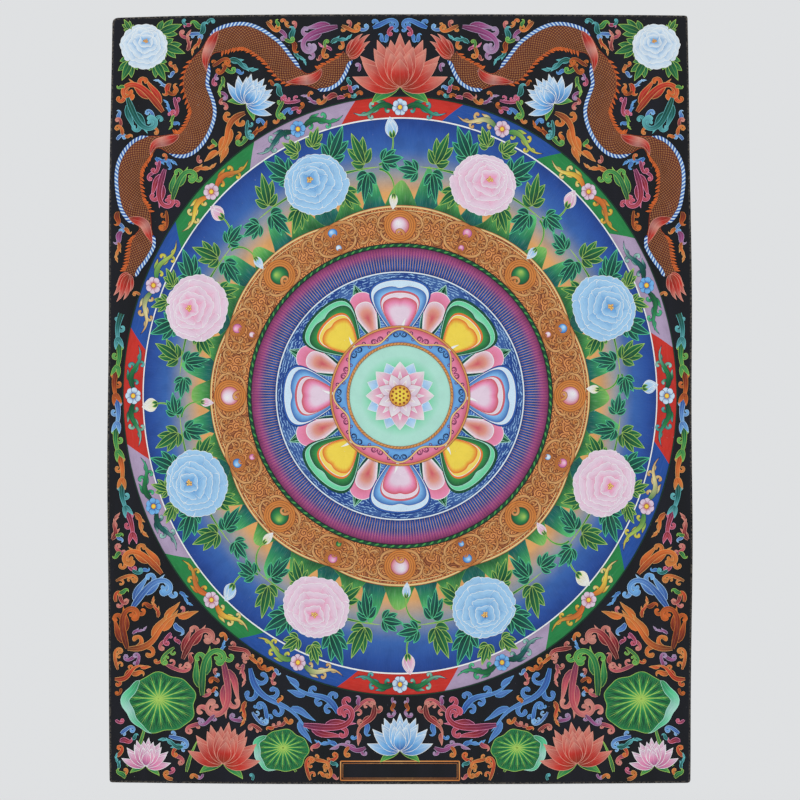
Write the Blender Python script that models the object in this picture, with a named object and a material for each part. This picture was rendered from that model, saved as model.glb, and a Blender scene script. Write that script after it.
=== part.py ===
"""A painted hanging cloth: one primed cotton canvas, cut almost square, hung from its top edge.

Metres, +Z up. The painted face looks towards -Y, and the origin is the middle of the top edge.
The sheet is a grid that is pushed into its bowed outline and its shallow folds, then thickened.
"""
import math
from collections import namedtuple

import bmesh
import bpy

# The outline. The sides belly out a little below the middle, and the corners draw in.
DROP = 0.740              # top edge to bottom edge, down the middle
TOP_WIDTH = 0.5530
WIDEST_WIDTH = 0.5618
BOTTOM_WIDTH = 0.5566
WIDEST_AT = 0.62          # share of the drop at which the cloth is widest
EDGE_WAVER = 0.0005       # how far the cut sides wander in and out

# How far each corner lies inside the straight line of its edge, and the radius it is worn to
Corner = namedtuple("Corner", "side edge dip radius")
CORNERS = (
    Corner(side=-1, edge=0, dip=0.0036, radius=0.0050),    # top left
    Corner(side=+1, edge=0, dip=0.0013, radius=0.0022),    # top right
    Corner(side=-1, edge=1, dip=0.0026, radius=0.0020),    # bottom left
    Corner(side=+1, edge=1, dip=0.0021, radius=0.0026),    # bottom right
)

# The cloth itself
THICKNESS = 0.0012        # canvas with its chalk ground and paint
CELLS_ACROSS = 24
CELLS_DOWN = 32

# Shallow folds left by rolling and unrolling. Each is a long soft swelling: where its middle is,
# how far its run is turned from level (degrees), its half length and half width, and how far it
# stands towards the viewer (below 0 for a trough).
Fold = namedtuple("Fold", "across down turn half_length half_width depth")
FOLDS = (
    Fold(across=-0.060, down=0.120, turn=4, half_length=0.230, half_width=0.034, depth=0.0011),
    Fold(across=+0.090, down=0.205, turn=-3, half_length=0.210, half_width=0.030, depth=-0.0010),
    Fold(across=-0.030, down=0.300, turn=2, half_length=0.260, half_width=0.040, depth=0.0012),
    Fold(across=+0.060, down=0.415, turn=-5, half_length=0.220, half_width=0.034, depth=-0.0012),
    Fold(across=-0.080, down=0.500, turn=3, half_length=0.200, half_width=0.032, depth=0.0010),
    Fold(across=+0.040, down=0.600, turn=1, half_length=0.250, half_width=0.036, depth=-0.0011),
    Fold(across=-0.205, down=0.230, turn=78, half_length=0.150, half_width=0.026, depth=0.0010),
    Fold(across=+0.215, down=0.345, turn=96, half_length=0.170, half_width=0.028, depth=0.0012),
    Fold(across=+0.185, down=0.640, turn=58, half_length=0.090, half_width=0.026, depth=0.0013),
    Fold(across=-0.190, down=0.655, turn=128, half_length=0.085, half_width=0.024, depth=0.0012),
)

# The free edges lift off the wall, and the bottom corners most of all.
SIDE_LIFT = 0.0016
SIDE_LIFT_REACH = 0.022
BOTTOM_LIFT = 0.0030
BOTTOM_LIFT_REACH = 0.045
CORNER_LIFT = 0.0034
CORNER_LIFT_REACH = 0.070
SETTLES_BELOW_TOP = 0.050  # the hung top edge is straight, and the folds grow below it

PAINTED_COLOUR = (0.020, 0.022, 0.026, 1.0)


def half_width(down):
    """Half the cloth's width at a share of its drop: two parabolas that meet at the widest place."""
    if down < WIDEST_AT:
        narrower, off = WIDEST_WIDTH - TOP_WIDTH, (WIDEST_AT - down) / WIDEST_AT
    else:
        narrower, off = WIDEST_WIDTH - BOTTOM_WIDTH, (down - WIDEST_AT) / (1 - WIDEST_AT)
    return (WIDEST_WIDTH - narrower * off ** 2) / 2


def corner_dip(across, edge):
    """How far the top (0) or bottom (1) edge lies inside its straight line, cubic from the middle."""
    return sum(c.dip * max(across * c.side, 0) ** 3 for c in CORNERS if c.edge == edge)


def place_on_outline(across, down):
    """The x and z of a grid point, from its share of the half width and its share of the drop."""
    waver = EDGE_WAVER * across * math.sin(17 * down + 2.1 * across) * math.sin(math.pi * down)
    top = -corner_dip(across, 0)
    bottom = -DROP + corner_dip(across, 1)
    return across * half_width(down) + waver, top + (bottom - top) * down


def forward(x, z):
    """How far the cloth stands towards the viewer: the sum of its folds and of its lifted edges."""
    stands = 0.0
    for fold in FOLDS:
        turn = math.radians(fold.turn)
        right, up = x - fold.across, z + fold.down
        along = right * math.cos(turn) + up * math.sin(turn)
        aside = up * math.cos(turn) - right * math.sin(turn)
        stands += fold.depth * math.exp(-(along / fold.half_length) ** 2 - (aside / fold.half_width) ** 2)
    from_side = WIDEST_WIDTH / 2 - abs(x)
    from_bottom = DROP + z
    stands += SIDE_LIFT * math.exp(-(from_side / SIDE_LIFT_REACH) ** 2)
    stands += BOTTOM_LIFT * math.exp(-(from_bottom / BOTTOM_LIFT_REACH) ** 2)
    from_corner = math.hypot(from_side, from_bottom)
    stands += CORNER_LIFT * math.exp(-(from_corner / CORNER_LIFT_REACH) ** 2)
    return stands * (1 - math.exp(-(z / SETTLES_BELOW_TOP) ** 2))


def clear_scene():
    for thing in list(bpy.data.objects):
        bpy.data.objects.remove(thing, do_unlink=True)


def painted_canvas_material():
    material = bpy.data.materials.new("painted_canvas")
    material.use_nodes = True
    shader = material.node_tree.nodes["Principled BSDF"]
    shader.inputs["Base Color"].default_value = PAINTED_COLOUR
    shader.inputs["Roughness"].default_value = 0.8
    shader.inputs["Metallic"].default_value = 0.0
    return material


def round_corners(mesh):
    """Wears each of the four corner points of the sheet to its own radius."""
    mesh.verts.ensure_lookup_table()
    ends = {(c.side, c.edge): c.radius for c in CORNERS}
    for (side, edge), radius in ends.items():
        point = max(mesh.verts, key=lambda v: side * v.co.x + (1 if edge == 0 else -1) * v.co.z)
        bmesh.ops.bevel(mesh, geom=[point], offset=radius, segments=3, profile=0.5, affect="VERTICES")


def make_painted_cloth():
    mesh = bmesh.new()
    bmesh.ops.create_grid(mesh, x_segments=CELLS_ACROSS, y_segments=CELLS_DOWN, size=1.0)
    for point in mesh.verts:
        x, z = place_on_outline(point.co.x, (1 - point.co.y) / 2)
        point.co = (x, -forward(x, z), z)
    round_corners(mesh)
    bmesh.ops.recalc_face_normals(mesh, faces=mesh.faces)
    data = bpy.data.meshes.new("painted_cloth")
    mesh.to_mesh(data)
    mesh.free()
    data.materials.append(painted_canvas_material())
    data.shade_smooth()

    cloth = bpy.data.objects.new("painted_cloth", data)
    bpy.context.scene.collection.objects.link(cloth)
    thicken = cloth.modifiers.new("canvas_thickness", "SOLIDIFY")
    thicken.thickness = THICKNESS
    thicken.offset = 0.0
    return cloth


clear_scene()
make_painted_cloth()
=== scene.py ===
"""A painted hanging cloth in the thangka manner: gouache ornament on a primed cotton canvas.

Metres, +Z up. The painted face looks towards -Y, and the middle of the top edge is the origin.
"""
import math

import bpy
import numpy as np
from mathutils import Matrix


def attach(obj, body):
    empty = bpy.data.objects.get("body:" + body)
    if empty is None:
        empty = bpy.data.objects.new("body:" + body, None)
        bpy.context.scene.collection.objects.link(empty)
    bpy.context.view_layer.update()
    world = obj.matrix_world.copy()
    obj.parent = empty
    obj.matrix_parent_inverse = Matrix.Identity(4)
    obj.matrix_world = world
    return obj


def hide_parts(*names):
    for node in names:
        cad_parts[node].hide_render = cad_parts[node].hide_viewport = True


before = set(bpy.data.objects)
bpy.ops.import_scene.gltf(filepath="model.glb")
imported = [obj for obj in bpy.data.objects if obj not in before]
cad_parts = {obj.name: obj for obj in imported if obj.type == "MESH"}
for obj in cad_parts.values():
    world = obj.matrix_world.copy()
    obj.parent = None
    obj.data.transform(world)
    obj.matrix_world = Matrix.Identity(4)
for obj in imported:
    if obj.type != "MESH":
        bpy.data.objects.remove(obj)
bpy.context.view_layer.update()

# ------------------------------------------------------------------ The canvas
# One length of cotton, stretched on a frame while it was sized, chalked, burnished and painted, then
# cut free. It hangs from its top edge, with the shallow folds that rolling has left in it.
DROP = 0.740                  # top edge to bottom edge, down the middle
TOP_WIDTH, WIDEST_WIDTH, BOTTOM_WIDTH = 0.5530, 0.5618, 0.5566
WIDEST_AT = 0.62              # share of the drop at which the cloth is widest
EDGE_WAVER, WAVER_RUN, WAVER_LEAN = 0.0005, 17, 2.1      # how far the cut sides wander, and how often
CANVAS_THICKNESS = 0.0012
SIDE_LIFT, SIDE_LIFT_REACH = 0.0016, 0.022
BOTTOM_LIFT, BOTTOM_LIFT_REACH = 0.0030, 0.045
CORNER_LIFT, CORNER_LIFT_REACH = 0.0034, 0.070
SETTLES_BELOW_TOP = 0.050
CANVAS_COLUMNS, CANVAS_ROWS, CROWDING = 116, 150, 0.5    # the sheet's points, and how they crowd to its edges

# side, edge (0 top, 1 bottom), how far the corner dips inside its edge, worn radius
CORNERS = (
    (-1, 0, 0.0036, 0.0050),
    (+1, 0, 0.0013, 0.0022),
    (-1, 1, 0.0026, 0.0020),
    (+1, 1, 0.0021, 0.0026),
)

# middle across, middle down, turn from level (degrees), half length, half width, depth to the viewer
FOLDS = (
    (-0.060, 0.120, 4, 0.230, 0.034, 0.0011),
    (+0.090, 0.205, -3, 0.210, 0.030, -0.0010),
    (-0.030, 0.300, 2, 0.260, 0.040, 0.0012),
    (+0.060, 0.415, -5, 0.220, 0.034, -0.0012),
    (-0.080, 0.500, 3, 0.200, 0.032, 0.0010),
    (+0.040, 0.600, 1, 0.250, 0.036, -0.0011),
    (-0.205, 0.230, 78, 0.150, 0.026, 0.0010),
    (+0.215, 0.345, 96, 0.170, 0.028, 0.0012),
    (+0.185, 0.640, 58, 0.090, 0.026, 0.0013),
    (-0.190, 0.655, 128, 0.085, 0.024, 0.0012),
)


def outline(across, down):
    """x and z of the sheet for a share of its half width (-1 to 1) and of its drop (0 to 1): the half
    width is two parabolas that meet at the widest place, and each corner dips by a cubic."""
    above = down < WIDEST_AT
    off = np.where(above, (WIDEST_AT - down) / WIDEST_AT, (down - WIDEST_AT) / (1 - WIDEST_AT))
    narrower = WIDEST_WIDTH - np.where(above, TOP_WIDTH, BOTTOM_WIDTH)
    half = (WIDEST_WIDTH - narrower * off ** 2) / 2
    waver = EDGE_WAVER * across * np.sin(WAVER_RUN * down + WAVER_LEAN * across) * np.sin(np.pi * down)
    dips = [sum(dip * np.maximum(across * side, 0) ** 3 for side, at, dip, _ in CORNERS if at == edge)
            for edge in (0, 1)]
    return across * half + waver, -dips[0] + (dips[1] - DROP + dips[0]) * down


def stands_forward(x, z):
    """How far the cloth stands towards the viewer at x, z: each fold is a long Gaussian swelling, and
    the side edges, the bottom edge and its corners lift off the wall by Gaussians of their own."""
    total = np.zeros_like(x)
    for across, down, turn, half_length, half_width, depth in FOLDS:
        cosine, sine = math.cos(math.radians(turn)), math.sin(math.radians(turn))
        along = (x - across) * cosine + (z + down) * sine
        aside = (z + down) * cosine - (x - across) * sine
        total += depth * np.exp(-(along / half_length) ** 2 - (aside / half_width) ** 2)
    from_side, from_bottom = WIDEST_WIDTH / 2 - np.abs(x), DROP + z
    total += SIDE_LIFT * np.exp(-(from_side / SIDE_LIFT_REACH) ** 2)
    total += BOTTOM_LIFT * np.exp(-(from_bottom / BOTTOM_LIFT_REACH) ** 2)
    total += CORNER_LIFT * np.exp(-(from_side ** 2 + from_bottom ** 2) / CORNER_LIFT_REACH ** 2)
    return total * (1 - np.exp(-(z / SETTLES_BELOW_TOP) ** 2))


def grid_faces(rows, columns, first=0, wrap=False):
    """Corner numbers of the quads between rows x columns points, the last column joined to the first
    where the grid wraps round."""
    number = first + np.arange(rows * columns).reshape(rows, columns)
    if wrap:
        number = np.concatenate([number, number[:, :1]], axis=1)
    return np.stack([number[:-1, :-1], number[:-1, 1:], number[1:, 1:], number[1:, :-1]], -1).reshape(-1, 4)


def mesh_piece(name, points, quads, fields=(), brush=None):
    """An object at the origin from arrays of points and quads. fields are named values on its points,
    a colour where they are four wide, and brush is its UV map."""
    mesh = bpy.data.meshes.new(name)
    mesh.vertices.add(len(points))
    mesh.vertices.foreach_set("co", np.ascontiguousarray(points, dtype=np.float32).ravel())
    mesh.loops.add(quads.size)
    mesh.loops.foreach_set("vertex_index", quads.ravel().astype(np.int32))
    mesh.polygons.add(len(quads))
    mesh.polygons.foreach_set("loop_start", np.arange(0, quads.size, 4, dtype=np.int32))
    mesh.update(calc_edges=True)
    mesh.shade_smooth()
    for key, values in dict(fields).items():
        kind, slot = ("FLOAT_COLOR", "color") if values.ndim == 2 else ("FLOAT", "value")
        mesh.attributes.new(key, kind, "POINT").data.foreach_set(slot, values.astype(np.float32).ravel())
    if brush is not None:
        uv = mesh.uv_layers.new(name="brush")
        uv.data.foreach_set("uv", brush[quads.ravel()].astype(np.float32).ravel())
    piece = bpy.data.objects.new(name, mesh)
    bpy.context.scene.collection.objects.link(piece)
    return piece


class Wire:
    """An output socket of a material's nodes. Arithmetic on it adds Math nodes."""

    def __init__(self, recipe, socket):
        self.recipe, self.socket = recipe, socket

    def math(self, operation, *values):
        return self.recipe.node("ShaderNodeMath", {"operation": operation}, dict(enumerate(values)))

    def __add__(self, other):
        return self.math("ADD", self, other)

    def __radd__(self, other):
        return self.math("ADD", other, self)

    def __sub__(self, other):
        return self.math("SUBTRACT", self, other)

    def __rsub__(self, other):
        return self.math("SUBTRACT", other, self)

    def __mul__(self, other):
        return self.math("MULTIPLY", self, other)

    def __rmul__(self, other):
        return self.math("MULTIPLY", other, self)

    def __truediv__(self, other):
        return self.math("DIVIDE", self, other)

    def __abs__(self):
        return self.math("ABSOLUTE", self)

    def sine(self):
        return self.math("SINE", self)

    def floor(self):
        return self.math("FLOOR", self)

    def rest(self):
        """What is left above the whole number."""
        return self.math("FRACT", self)

    def most(self, other):
        """The larger of two values."""
        return self.math("MAXIMUM", self, other)

    def step(self, low, high, start=0.0, end=1.0):
        """A soft step of the value, from start at low to end at high."""
        return self.recipe.node("ShaderNodeMapRange", {"interpolation_type": "SMOOTHSTEP"},
                                {"Value": self, "From Min": low, "From Max": high,
                                 "To Min": start, "To Max": end})


class Recipe:
    """A paint or a cloth as a material: nodes are added one by one and end at its Principled shader."""

    def __init__(self, name, roughness, specular=0.2):
        self.material = bpy.data.materials.new(name)
        self.material.use_nodes = True
        self.tree = self.material.node_tree
        self.shader = self.tree.nodes["Principled BSDF"]
        self.shader.inputs["Roughness"].default_value = roughness
        self.shader.inputs["Specular IOR Level"].default_value = specular
        self.places = self.node("ShaderNodeTexCoord", out="Object")

    def node(self, kind, settings=None, values=None, out=0):
        """Adds a node: its settings first, then the values or links of its inputs. Returns one output."""
        made = self.tree.nodes.new(kind)
        for key, setting in (settings or {}).items():
            setattr(made, key, setting)
        for key, value in (values or {}).items():
            if isinstance(value, Wire):
                self.tree.links.new(value.socket, made.inputs[key])
            else:
                made.inputs[key].default_value = value
        return Wire(self, made.outputs[out])

    def vector(self, operation, *values, out=0):
        """Vector Math of the values."""
        return self.node("ShaderNodeVectorMath", {"operation": operation}, dict(enumerate(values)), out)

    def split(self, place, axes):
        """A place's coordinates along the named axes."""
        return [self.node("ShaderNodeSeparateXYZ", {}, {0: place}, out=axis) for axis in axes]

    def noise(self, scale, detail, stretch=None, places=None):
        """Noise of so many cells a metre, stretched by a factor for each axis."""
        places = places or self.places
        if stretch:
            places = self.vector("MULTIPLY", places, stretch)
        return self.node("ShaderNodeTexNoise", {}, {"Vector": places, "Scale": scale, "Detail": detail})

    def mix(self, first, second, share, way="MIX"):
        """Two colours mixed by a share, through the Mix node. Each is a wire, or a paint as dried() takes
        it."""
        first, second = (tone if isinstance(tone, Wire) else tuple(dried(tone)) for tone in (first, second))
        return self.node("ShaderNodeMix", {"data_type": "RGBA", "blend_type": way},
                         {0: share, 6: first, 7: second}, out=2)

    def field(self, name, out="Color"):
        """A named value or colour that the brush left on the mesh's points."""
        return self.node("ShaderNodeAttribute", {"attribute_name": name}, out=out)

    def link(self, value, slot):
        self.tree.links.new(value.socket, self.shader.inputs[slot])

    def bump(self, height, strength, distance):
        """Feeds the shader's Normal from a height of up to that distance."""
        self.link(self.node("ShaderNodeBump", {}, {"Strength": strength, "Distance": distance,
                                                   "Height": height}), "Normal")


# Paint colours as they dry, 0 to 255 in each of red, green and blue
PAINTS = {
    "lamp_black": (20, 22, 25), "night": (22, 28, 74), "navy": (26, 40, 104), "royal": (40, 84, 164),
    "water": (84, 130, 196), "sky": (118, 184, 238), "pale_blue": (170, 208, 238),
    "pale_sky": (206, 230, 246), "teal": (26, 104, 98), "aqua": (110, 192, 196), "deep_green": (24, 74, 52),
    "green": (42, 136, 74), "grass": (92, 176, 84), "lime": (168, 204, 96), "mint": (92, 208, 150),
    "pale_mint": (176, 226, 210),
    "red": (204, 52, 42), "crimson": (158, 46, 56), "maroon": (92, 34, 32), "rust": (150, 58, 34),
    "brown": (104, 52, 34), "carved": (160, 88, 46), "gold_ochre": (206, 126, 58), "tan": (220, 164, 100),
    "orange": (228, 112, 48), "yellow": (242, 214, 80), "straw": (240, 226, 160), "white": (238, 240, 238),
    "plum": (112, 44, 84), "magenta": (166, 76, 136), "rose": (206, 88, 100), "pink": (236, 146, 184),
    "pale_pink": (230, 208, 224), "lilac": (180, 160, 190), "salmon": (222, 150, 132),
    # the canvas
    "ground_black": (17, 19, 22), "worn_black": (30, 31, 38), "blue_black": (26, 27, 40),
    "chalk_dust": (120, 112, 100), "lost_fleck": (150, 156, 160), "cotton": (218, 210, 192),
    "sized_cotton": (202, 191, 168), "weave_gap_shade": (150, 136, 112), "seed_speck": (96, 78, 60),
    "shaded_edge_cotton": (120, 106, 88), "cut_chalk": (196, 186, 164), "dragged_black": (44, 42, 42),
    # the sky and the hills
    "glow": (226, 166, 100), "haze": (150, 156, 160), "day_blue": (60, 104, 174), "high_blue": (42, 80, 156),
    "dusk_blue": (28, 50, 116), "hill_shade": (44, 112, 62), "hill_green": (84, 164, 84),
    "hill_light": (132, 192, 98), "far_hill": (58, 152, 96), "far_light": (96, 196, 118),
    # the gilt ring, the pool and the scarves
    "groove": (118, 56, 36), "ridge": (220, 146, 84), "hollow": (104, 46, 30), "gold_light": (230, 174, 110),
    "ripple": (158, 200, 236), "dark_rust": (100, 44, 36), "gold_thread": (172, 118, 66),
    # the blue peonies
    "peony_blue": (88, 156, 216), "peony_pale": (164, 206, 238), "corner_blue": (96, 164, 220),
    "corner_pale": (216, 230, 240),
}


def dried(paint):
    """The linear RGBA of a paint's name. A paint that is RGBA already stays as it is."""
    if not isinstance(paint, str):
        return np.asarray(paint, dtype=float)
    share = np.asarray(PAINTS[paint], dtype=float) / 255
    rgb = np.where(share < 0.04045, share / 12.92, ((share + 0.055) / 1.055) ** 2.4)
    return np.append(rgb, 1.0)


THREADS_PER_METRE = 1250
FINE_SLUBS, COARSE_SLUBS, BRUSH_MARKS, CLOUDS, FLECKS = 420, 60, 34, 9, 520      # noise cells a metre
BLOTCHES, LOOSE_THREADS, SPECKS, DRAGS, GRIT, RUBS = 5, 900, 300, 260, 1400, 700
WEAVE_DEPTH, GRIT_DEPTH = 0.00025, 0.0004
RUBBED_MARGIN, SHADED_MARGIN = 0.0026, 0.012
DOWNWARD, ALONG_Z, ALONG_X = (1.0, 1.0, 0.12), (1.0, 1.0, 0.07), (0.07, 1.0, 1.0)      # drawn out that way


def show_weave(recipe, strength, extra=None):
    """Lets the canvas weave through: two crossed sines, uneven with slubs, as a shallow bump."""
    across, upward = recipe.split(recipe.places, "XZ")
    turn = math.pi * THREADS_PER_METRE
    slubs = recipe.noise(FINE_SLUBS, 3)
    height = (across * turn).sine() * (upward * turn).sine() * 0.5 + slubs * 1.4
    height = height + recipe.noise(COARSE_SLUBS, 3) * 2.0
    if extra is not None:
        height = height + extra
    recipe.bump(height, strength, WEAVE_DEPTH)


def black_ground():
    """Lamp black in glue over chalk: faint brush marks, pale pinprick losses, rubbed edges."""
    recipe = Recipe("lamp_black_ground", roughness=0.78)
    brushed = recipe.noise(BRUSH_MARKS, 4, DOWNWARD)
    black = recipe.mix("ground_black", "worn_black", brushed.step(0.35, 0.7))
    black = recipe.mix(black, "blue_black", recipe.noise(CLOUDS, 3).step(0.45, 0.75) * 0.5)
    margin = recipe.field("from_edge", "Fac").step(0.0002, RUBBED_MARGIN, 1.0, 0.0)
    black = recipe.mix(black, "chalk_dust", margin * recipe.noise(RUBS, 3).step(0.42, 0.62) * 0.75)
    black = recipe.mix(black, "lost_fleck", recipe.noise(FLECKS, 1).step(0.80, 0.83) * 0.40)
    recipe.link(black, "Base Color")
    recipe.link(brushed.step(0.3, 0.7, 0.70, 0.86), "Roughness")
    show_weave(recipe, 0.35)
    return recipe.material


def raw_canvas():
    """The bare back: unbleached cotton, the size soaked through in blotches, with painted shade in its weave
    and at its edges.
    """
    recipe = Recipe("raw_cotton_back", roughness=0.95, specular=0.15)
    cloth = recipe.mix("cotton", "sized_cotton", recipe.noise(BLOTCHES, 6).step(0.35, 0.72))
    # painted shade: the threads' streaks are darkened as if the gaps of the weave lay in shade; the same
    # streaks also feed the bump
    threads = recipe.noise(LOOSE_THREADS, 2, ALONG_Z) * recipe.noise(LOOSE_THREADS, 2, ALONG_X)
    cloth = recipe.mix(cloth, "weave_gap_shade", threads.step(0.22, 0.42) * 0.42)
    cloth = recipe.mix(cloth, "seed_speck", recipe.noise(SPECKS, 1).step(0.74, 0.78) * 0.6)
    # painted shade: the back darkens towards its cut edges
    shadow = recipe.field("from_edge", "Fac").step(0.0, SHADED_MARGIN, 0.35, 0.0)
    recipe.link(recipe.mix(cloth, "shaded_edge_cotton", shadow), "Base Color")
    show_weave(recipe, 0.9, threads * 3.0)
    return recipe.material


def cut_edge():
    """The cut through chalk and threads, pale with black paint dragged over it."""
    recipe = Recipe("cut_canvas_edge", roughness=0.95, specular=0.15)
    dragged = recipe.noise(DRAGS, 3).step(0.40, 0.60)
    recipe.link(recipe.mix("cut_chalk", "dragged_black", dragged), "Base Color")
    recipe.bump(recipe.noise(GRIT, 2), 0.8, GRIT_DEPTH)
    return recipe.material


def crowded(count):
    """Even shares from -1 to 1, drawn closer to both ends by a part of a sine."""
    share = np.linspace(-1, 1, count)
    return (1 - CROWDING) * share + CROWDING * np.sin(np.pi / 2 * share)


def hang_canvas():
    """The sheet: a grid of shares of its width and drop, closer at the edges, laid on outline() and
    stands_forward(), its corners pulled from square to round, then thickened both ways."""
    across, down = np.meshgrid(crowded(CANVAS_COLUMNS), (1 + crowded(CANVAS_ROWS)) / 2)
    x, z = outline(across, down)
    for side, edge, _, radius in CORNERS:
        tip_x, tip_z = outline(np.array(float(side)), np.array(float(edge)))
        beyond_x = np.maximum(side * (x - tip_x) + radius, 0)
        beyond_z = np.maximum((1 - 2 * edge) * (z - tip_z) + radius, 0)
        far = np.hypot(beyond_x, beyond_z)
        pull = np.where((beyond_x > 0) & (beyond_z > 0),
                        np.maximum(beyond_x, beyond_z) / np.maximum(far, 1e-9) - 1, 0)
        x, z = x + side * beyond_x * pull, z + (1 - 2 * edge) * beyond_z * pull
    from_edge = np.minimum((1 - np.abs(across)) * WIDEST_WIDTH / 2, np.minimum(down, 1 - down) * DROP)
    points = np.stack([x, -stands_forward(x, z), z], -1).reshape(-1, 3)
    piece = mesh_piece("painted_canvas", points, grid_faces(CANVAS_ROWS, CANVAS_COLUMNS)[:, ::-1],
                       {"from_edge": from_edge.ravel()})
    for material in (black_ground(), raw_canvas(), cut_edge()):
        piece.data.materials.append(material)
    thicken = piece.modifiers.new("canvas_thickness", "SOLIDIFY")
    thicken.thickness, thicken.offset = CANVAS_THICKNESS, 0.0
    thicken.material_offset, thicken.material_offset_rim = 1, 2
    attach(piece, "root")
    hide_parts("painted_cloth")
    return piece


canvas = hang_canvas()

# ------------------------------------------------------------------ The sky of the medallion
# An upright oval ring of sky inside the border, laid first: dark blue at its rim and paler inwards, down
# to a warm glow over the hills. Its paints are mixed wet, so that none shows an edge.
CENTRE_DOWN = 0.3670
BAND_OUTER, BAND_INNER = 0.2660, 0.2470      # the border's half widths across
GOLD_OUTER, GOLD_INNER = 0.1790, 0.1470      # the gilt ring's radii
UPRIGHT = 0.082                              # how much longer the border is upright than across
PAINT_LAYER = 0.00008                        # one dried layer of paint, as it is stacked on the face
GROUND, UNDER, MIDDLE, OVER = (PAINT_LAYER * layer for layer in (1, 2, 3.2, 4.6))
SKY_INNER, SKY_OUTER = 0.1760, 0.2540
SKY_PAINTS = ("glow", "glow", "haze", "day_blue", "high_blue", "dusk_blue")


def wash(stops, share):
    """The paint at each share (0 to 1) of a run of evenly spaced paints, mixed softly between two."""
    colours = np.array([dried(paint) for paint in stops])
    share = np.clip(np.asarray(share, dtype=float), 0, 1)
    places = np.linspace(0, 1, len(stops))
    return np.stack([np.interp(share, places, channel) for channel in colours.T], -1)


class Brushwork:
    """The strokes of one painted group. Each is a grid of places with its paint, its rim's paint, its
    distance in from the rim and its distance from the middle line. onto moves a stroke to its place."""

    def __init__(self):
        self.grids, self.onto = [], lambda x, z: (x, z)

    def lay(self, x, z, height, paint, rim="white", inset=0.02, middle=0.02, brush=None, wrap=False):
        """Adds a stroke. brush is its place on the brush's own map: x, z where none is given."""
        shape = x.shape
        u, v = (x, z) if brush is None else brush
        x, z = self.onto(x, z)
        values = {"height": height, "inset": inset, "middle": middle, "u": u, "v": v}
        layer = {key: np.broadcast_to(value, shape) for key, value in values.items()}
        for key, tone in (("paint", paint), ("rim", rim)):
            layer[key] = np.broadcast_to(dried(tone) if isinstance(tone, str) else tone, shape + (4,))
        self.grids.append(layer | {"x": x, "z": z, "wrap": wrap})

    def dry(self, name, material, mirrored=False):
        """One mesh of all the strokes on the cloth's painted face, and their mirror image if asked. Each
        stroke's quads are turned to face the viewer, by the sign of their area."""
        stacked = {key: [] for key in ("x", "z", "height", "paint", "rim", "inset", "middle", "u", "v")}
        quads, first = [], 0
        for flip in ((1, -1) if mirrored else (1,)):
            for grid in self.grids:
                rows, across = grid["x"].shape
                faces = grid_faces(rows, across, first, grid["wrap"])
                for key, values in stacked.items():
                    part = grid[key] * flip if key == "x" else grid[key]
                    values.append(part.reshape(rows * across, -1))
                x, z = (grid[key].ravel()[faces - first] for key in "xz")
                area = sum(x[:, k] * z[:, k - 3] - x[:, k - 3] * z[:, k] for k in range(4)).sum() * flip
                quads.append(faces if area > 0 else faces[:, ::-1])
                first += rows * across
        made = {key: np.concatenate(values) for key, values in stacked.items()}
        x, z = made["x"][:, 0], made["z"][:, 0]
        y = -stands_forward(x, z) - CANVAS_THICKNESS / 2 - made["height"][:, 0]
        fields = {"paint": made["paint"], "rim": made["rim"],
                  "inset": made["inset"][:, 0], "middle": made["middle"][:, 0]}
        piece = mesh_piece(name, np.stack([x, y, z], -1), np.concatenate(quads), fields,
                           np.concatenate([made["u"], made["v"]], 1))
        piece.data.materials.append(material)
        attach(piece, "root")


WET_TINT, CLOUDY_TINT = (0.16, 0.16, 0.18, 1.0), (0.62, 0.60, 0.64, 1.0)      # linear, multiplied in
DRY_CHALK, FLECK_GREY = (0.80, 0.80, 0.76, 1.0), (0.55, 0.55, 0.52, 1.0)      # linear, mixed in
HAIRS, PAINT_CLOUDS, LINE_BREAKS = (110, 1500, 0), 70, 230                    # cells a metre
VEIN_CORE, VEIN_EDGE = 0.00012, 0.00036       # distances from the middle line over which a vein fades


def gouache(name, rim_width=0.0005, rim_strength=1.0, vein=0.0, streaks=0.35, mottling=0.25,
            roughness=0.76, pattern=None):
    """Gouache as the brush left it: the stroke's own paint, or a pattern over it, with streaks along it,
    a fine line round it, a line along its middle, a little chalky mottling and some lost flecks."""
    recipe = Recipe(name, roughness)
    paint, rim = recipe.field("paint"), recipe.field("rim")
    inset, middle = recipe.field("inset", "Fac"), recipe.field("middle", "Fac")
    brush = recipe.node("ShaderNodeUVMap", {"uv_map": "brush"})
    if pattern:
        paint = pattern(recipe, paint, *recipe.split(brush, "XY"))
    hair = recipe.noise(1.0, 3, HAIRS, brush)
    wet = recipe.mix(paint, WET_TINT, 1.0, "MULTIPLY")
    streaked = recipe.mix(paint, wet, hair.step(0.50, 0.72) * (streaks * 0.45))
    streaked = recipe.mix(streaked, DRY_CHALK, hair.step(0.48, 0.24) * (streaks * 0.16))
    cloudy = recipe.mix(streaked, CLOUDY_TINT, 1.0, "MULTIPLY")
    streaked = recipe.mix(streaked, cloudy, recipe.noise(PAINT_CLOUDS, 4).step(0.42, 0.68) * mottling)
    if vein:
        streaked = recipe.mix(streaked, rim, abs(middle).step(VEIN_CORE, VEIN_EDGE, vein, 0.0))
    broken = recipe.noise(LINE_BREAKS, 2).step(0.30, 0.46, 0.55, 1.0)
    line = inset.step(rim_width * 0.55, rim_width * 1.25, rim_strength, 0.0)
    streaked = recipe.mix(streaked, rim, line * broken)
    flecks = recipe.noise(FLECKS, 1).step(0.80, 0.83)
    recipe.link(recipe.mix(streaked, FLECK_GREY, flecks * 0.45), "Base Color")
    recipe.link(hair.step(0.3, 0.7, roughness - 0.06, roughness + 0.08), "Roughness")
    show_weave(recipe, 0.30, hair * 0.8)
    return recipe.material


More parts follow.
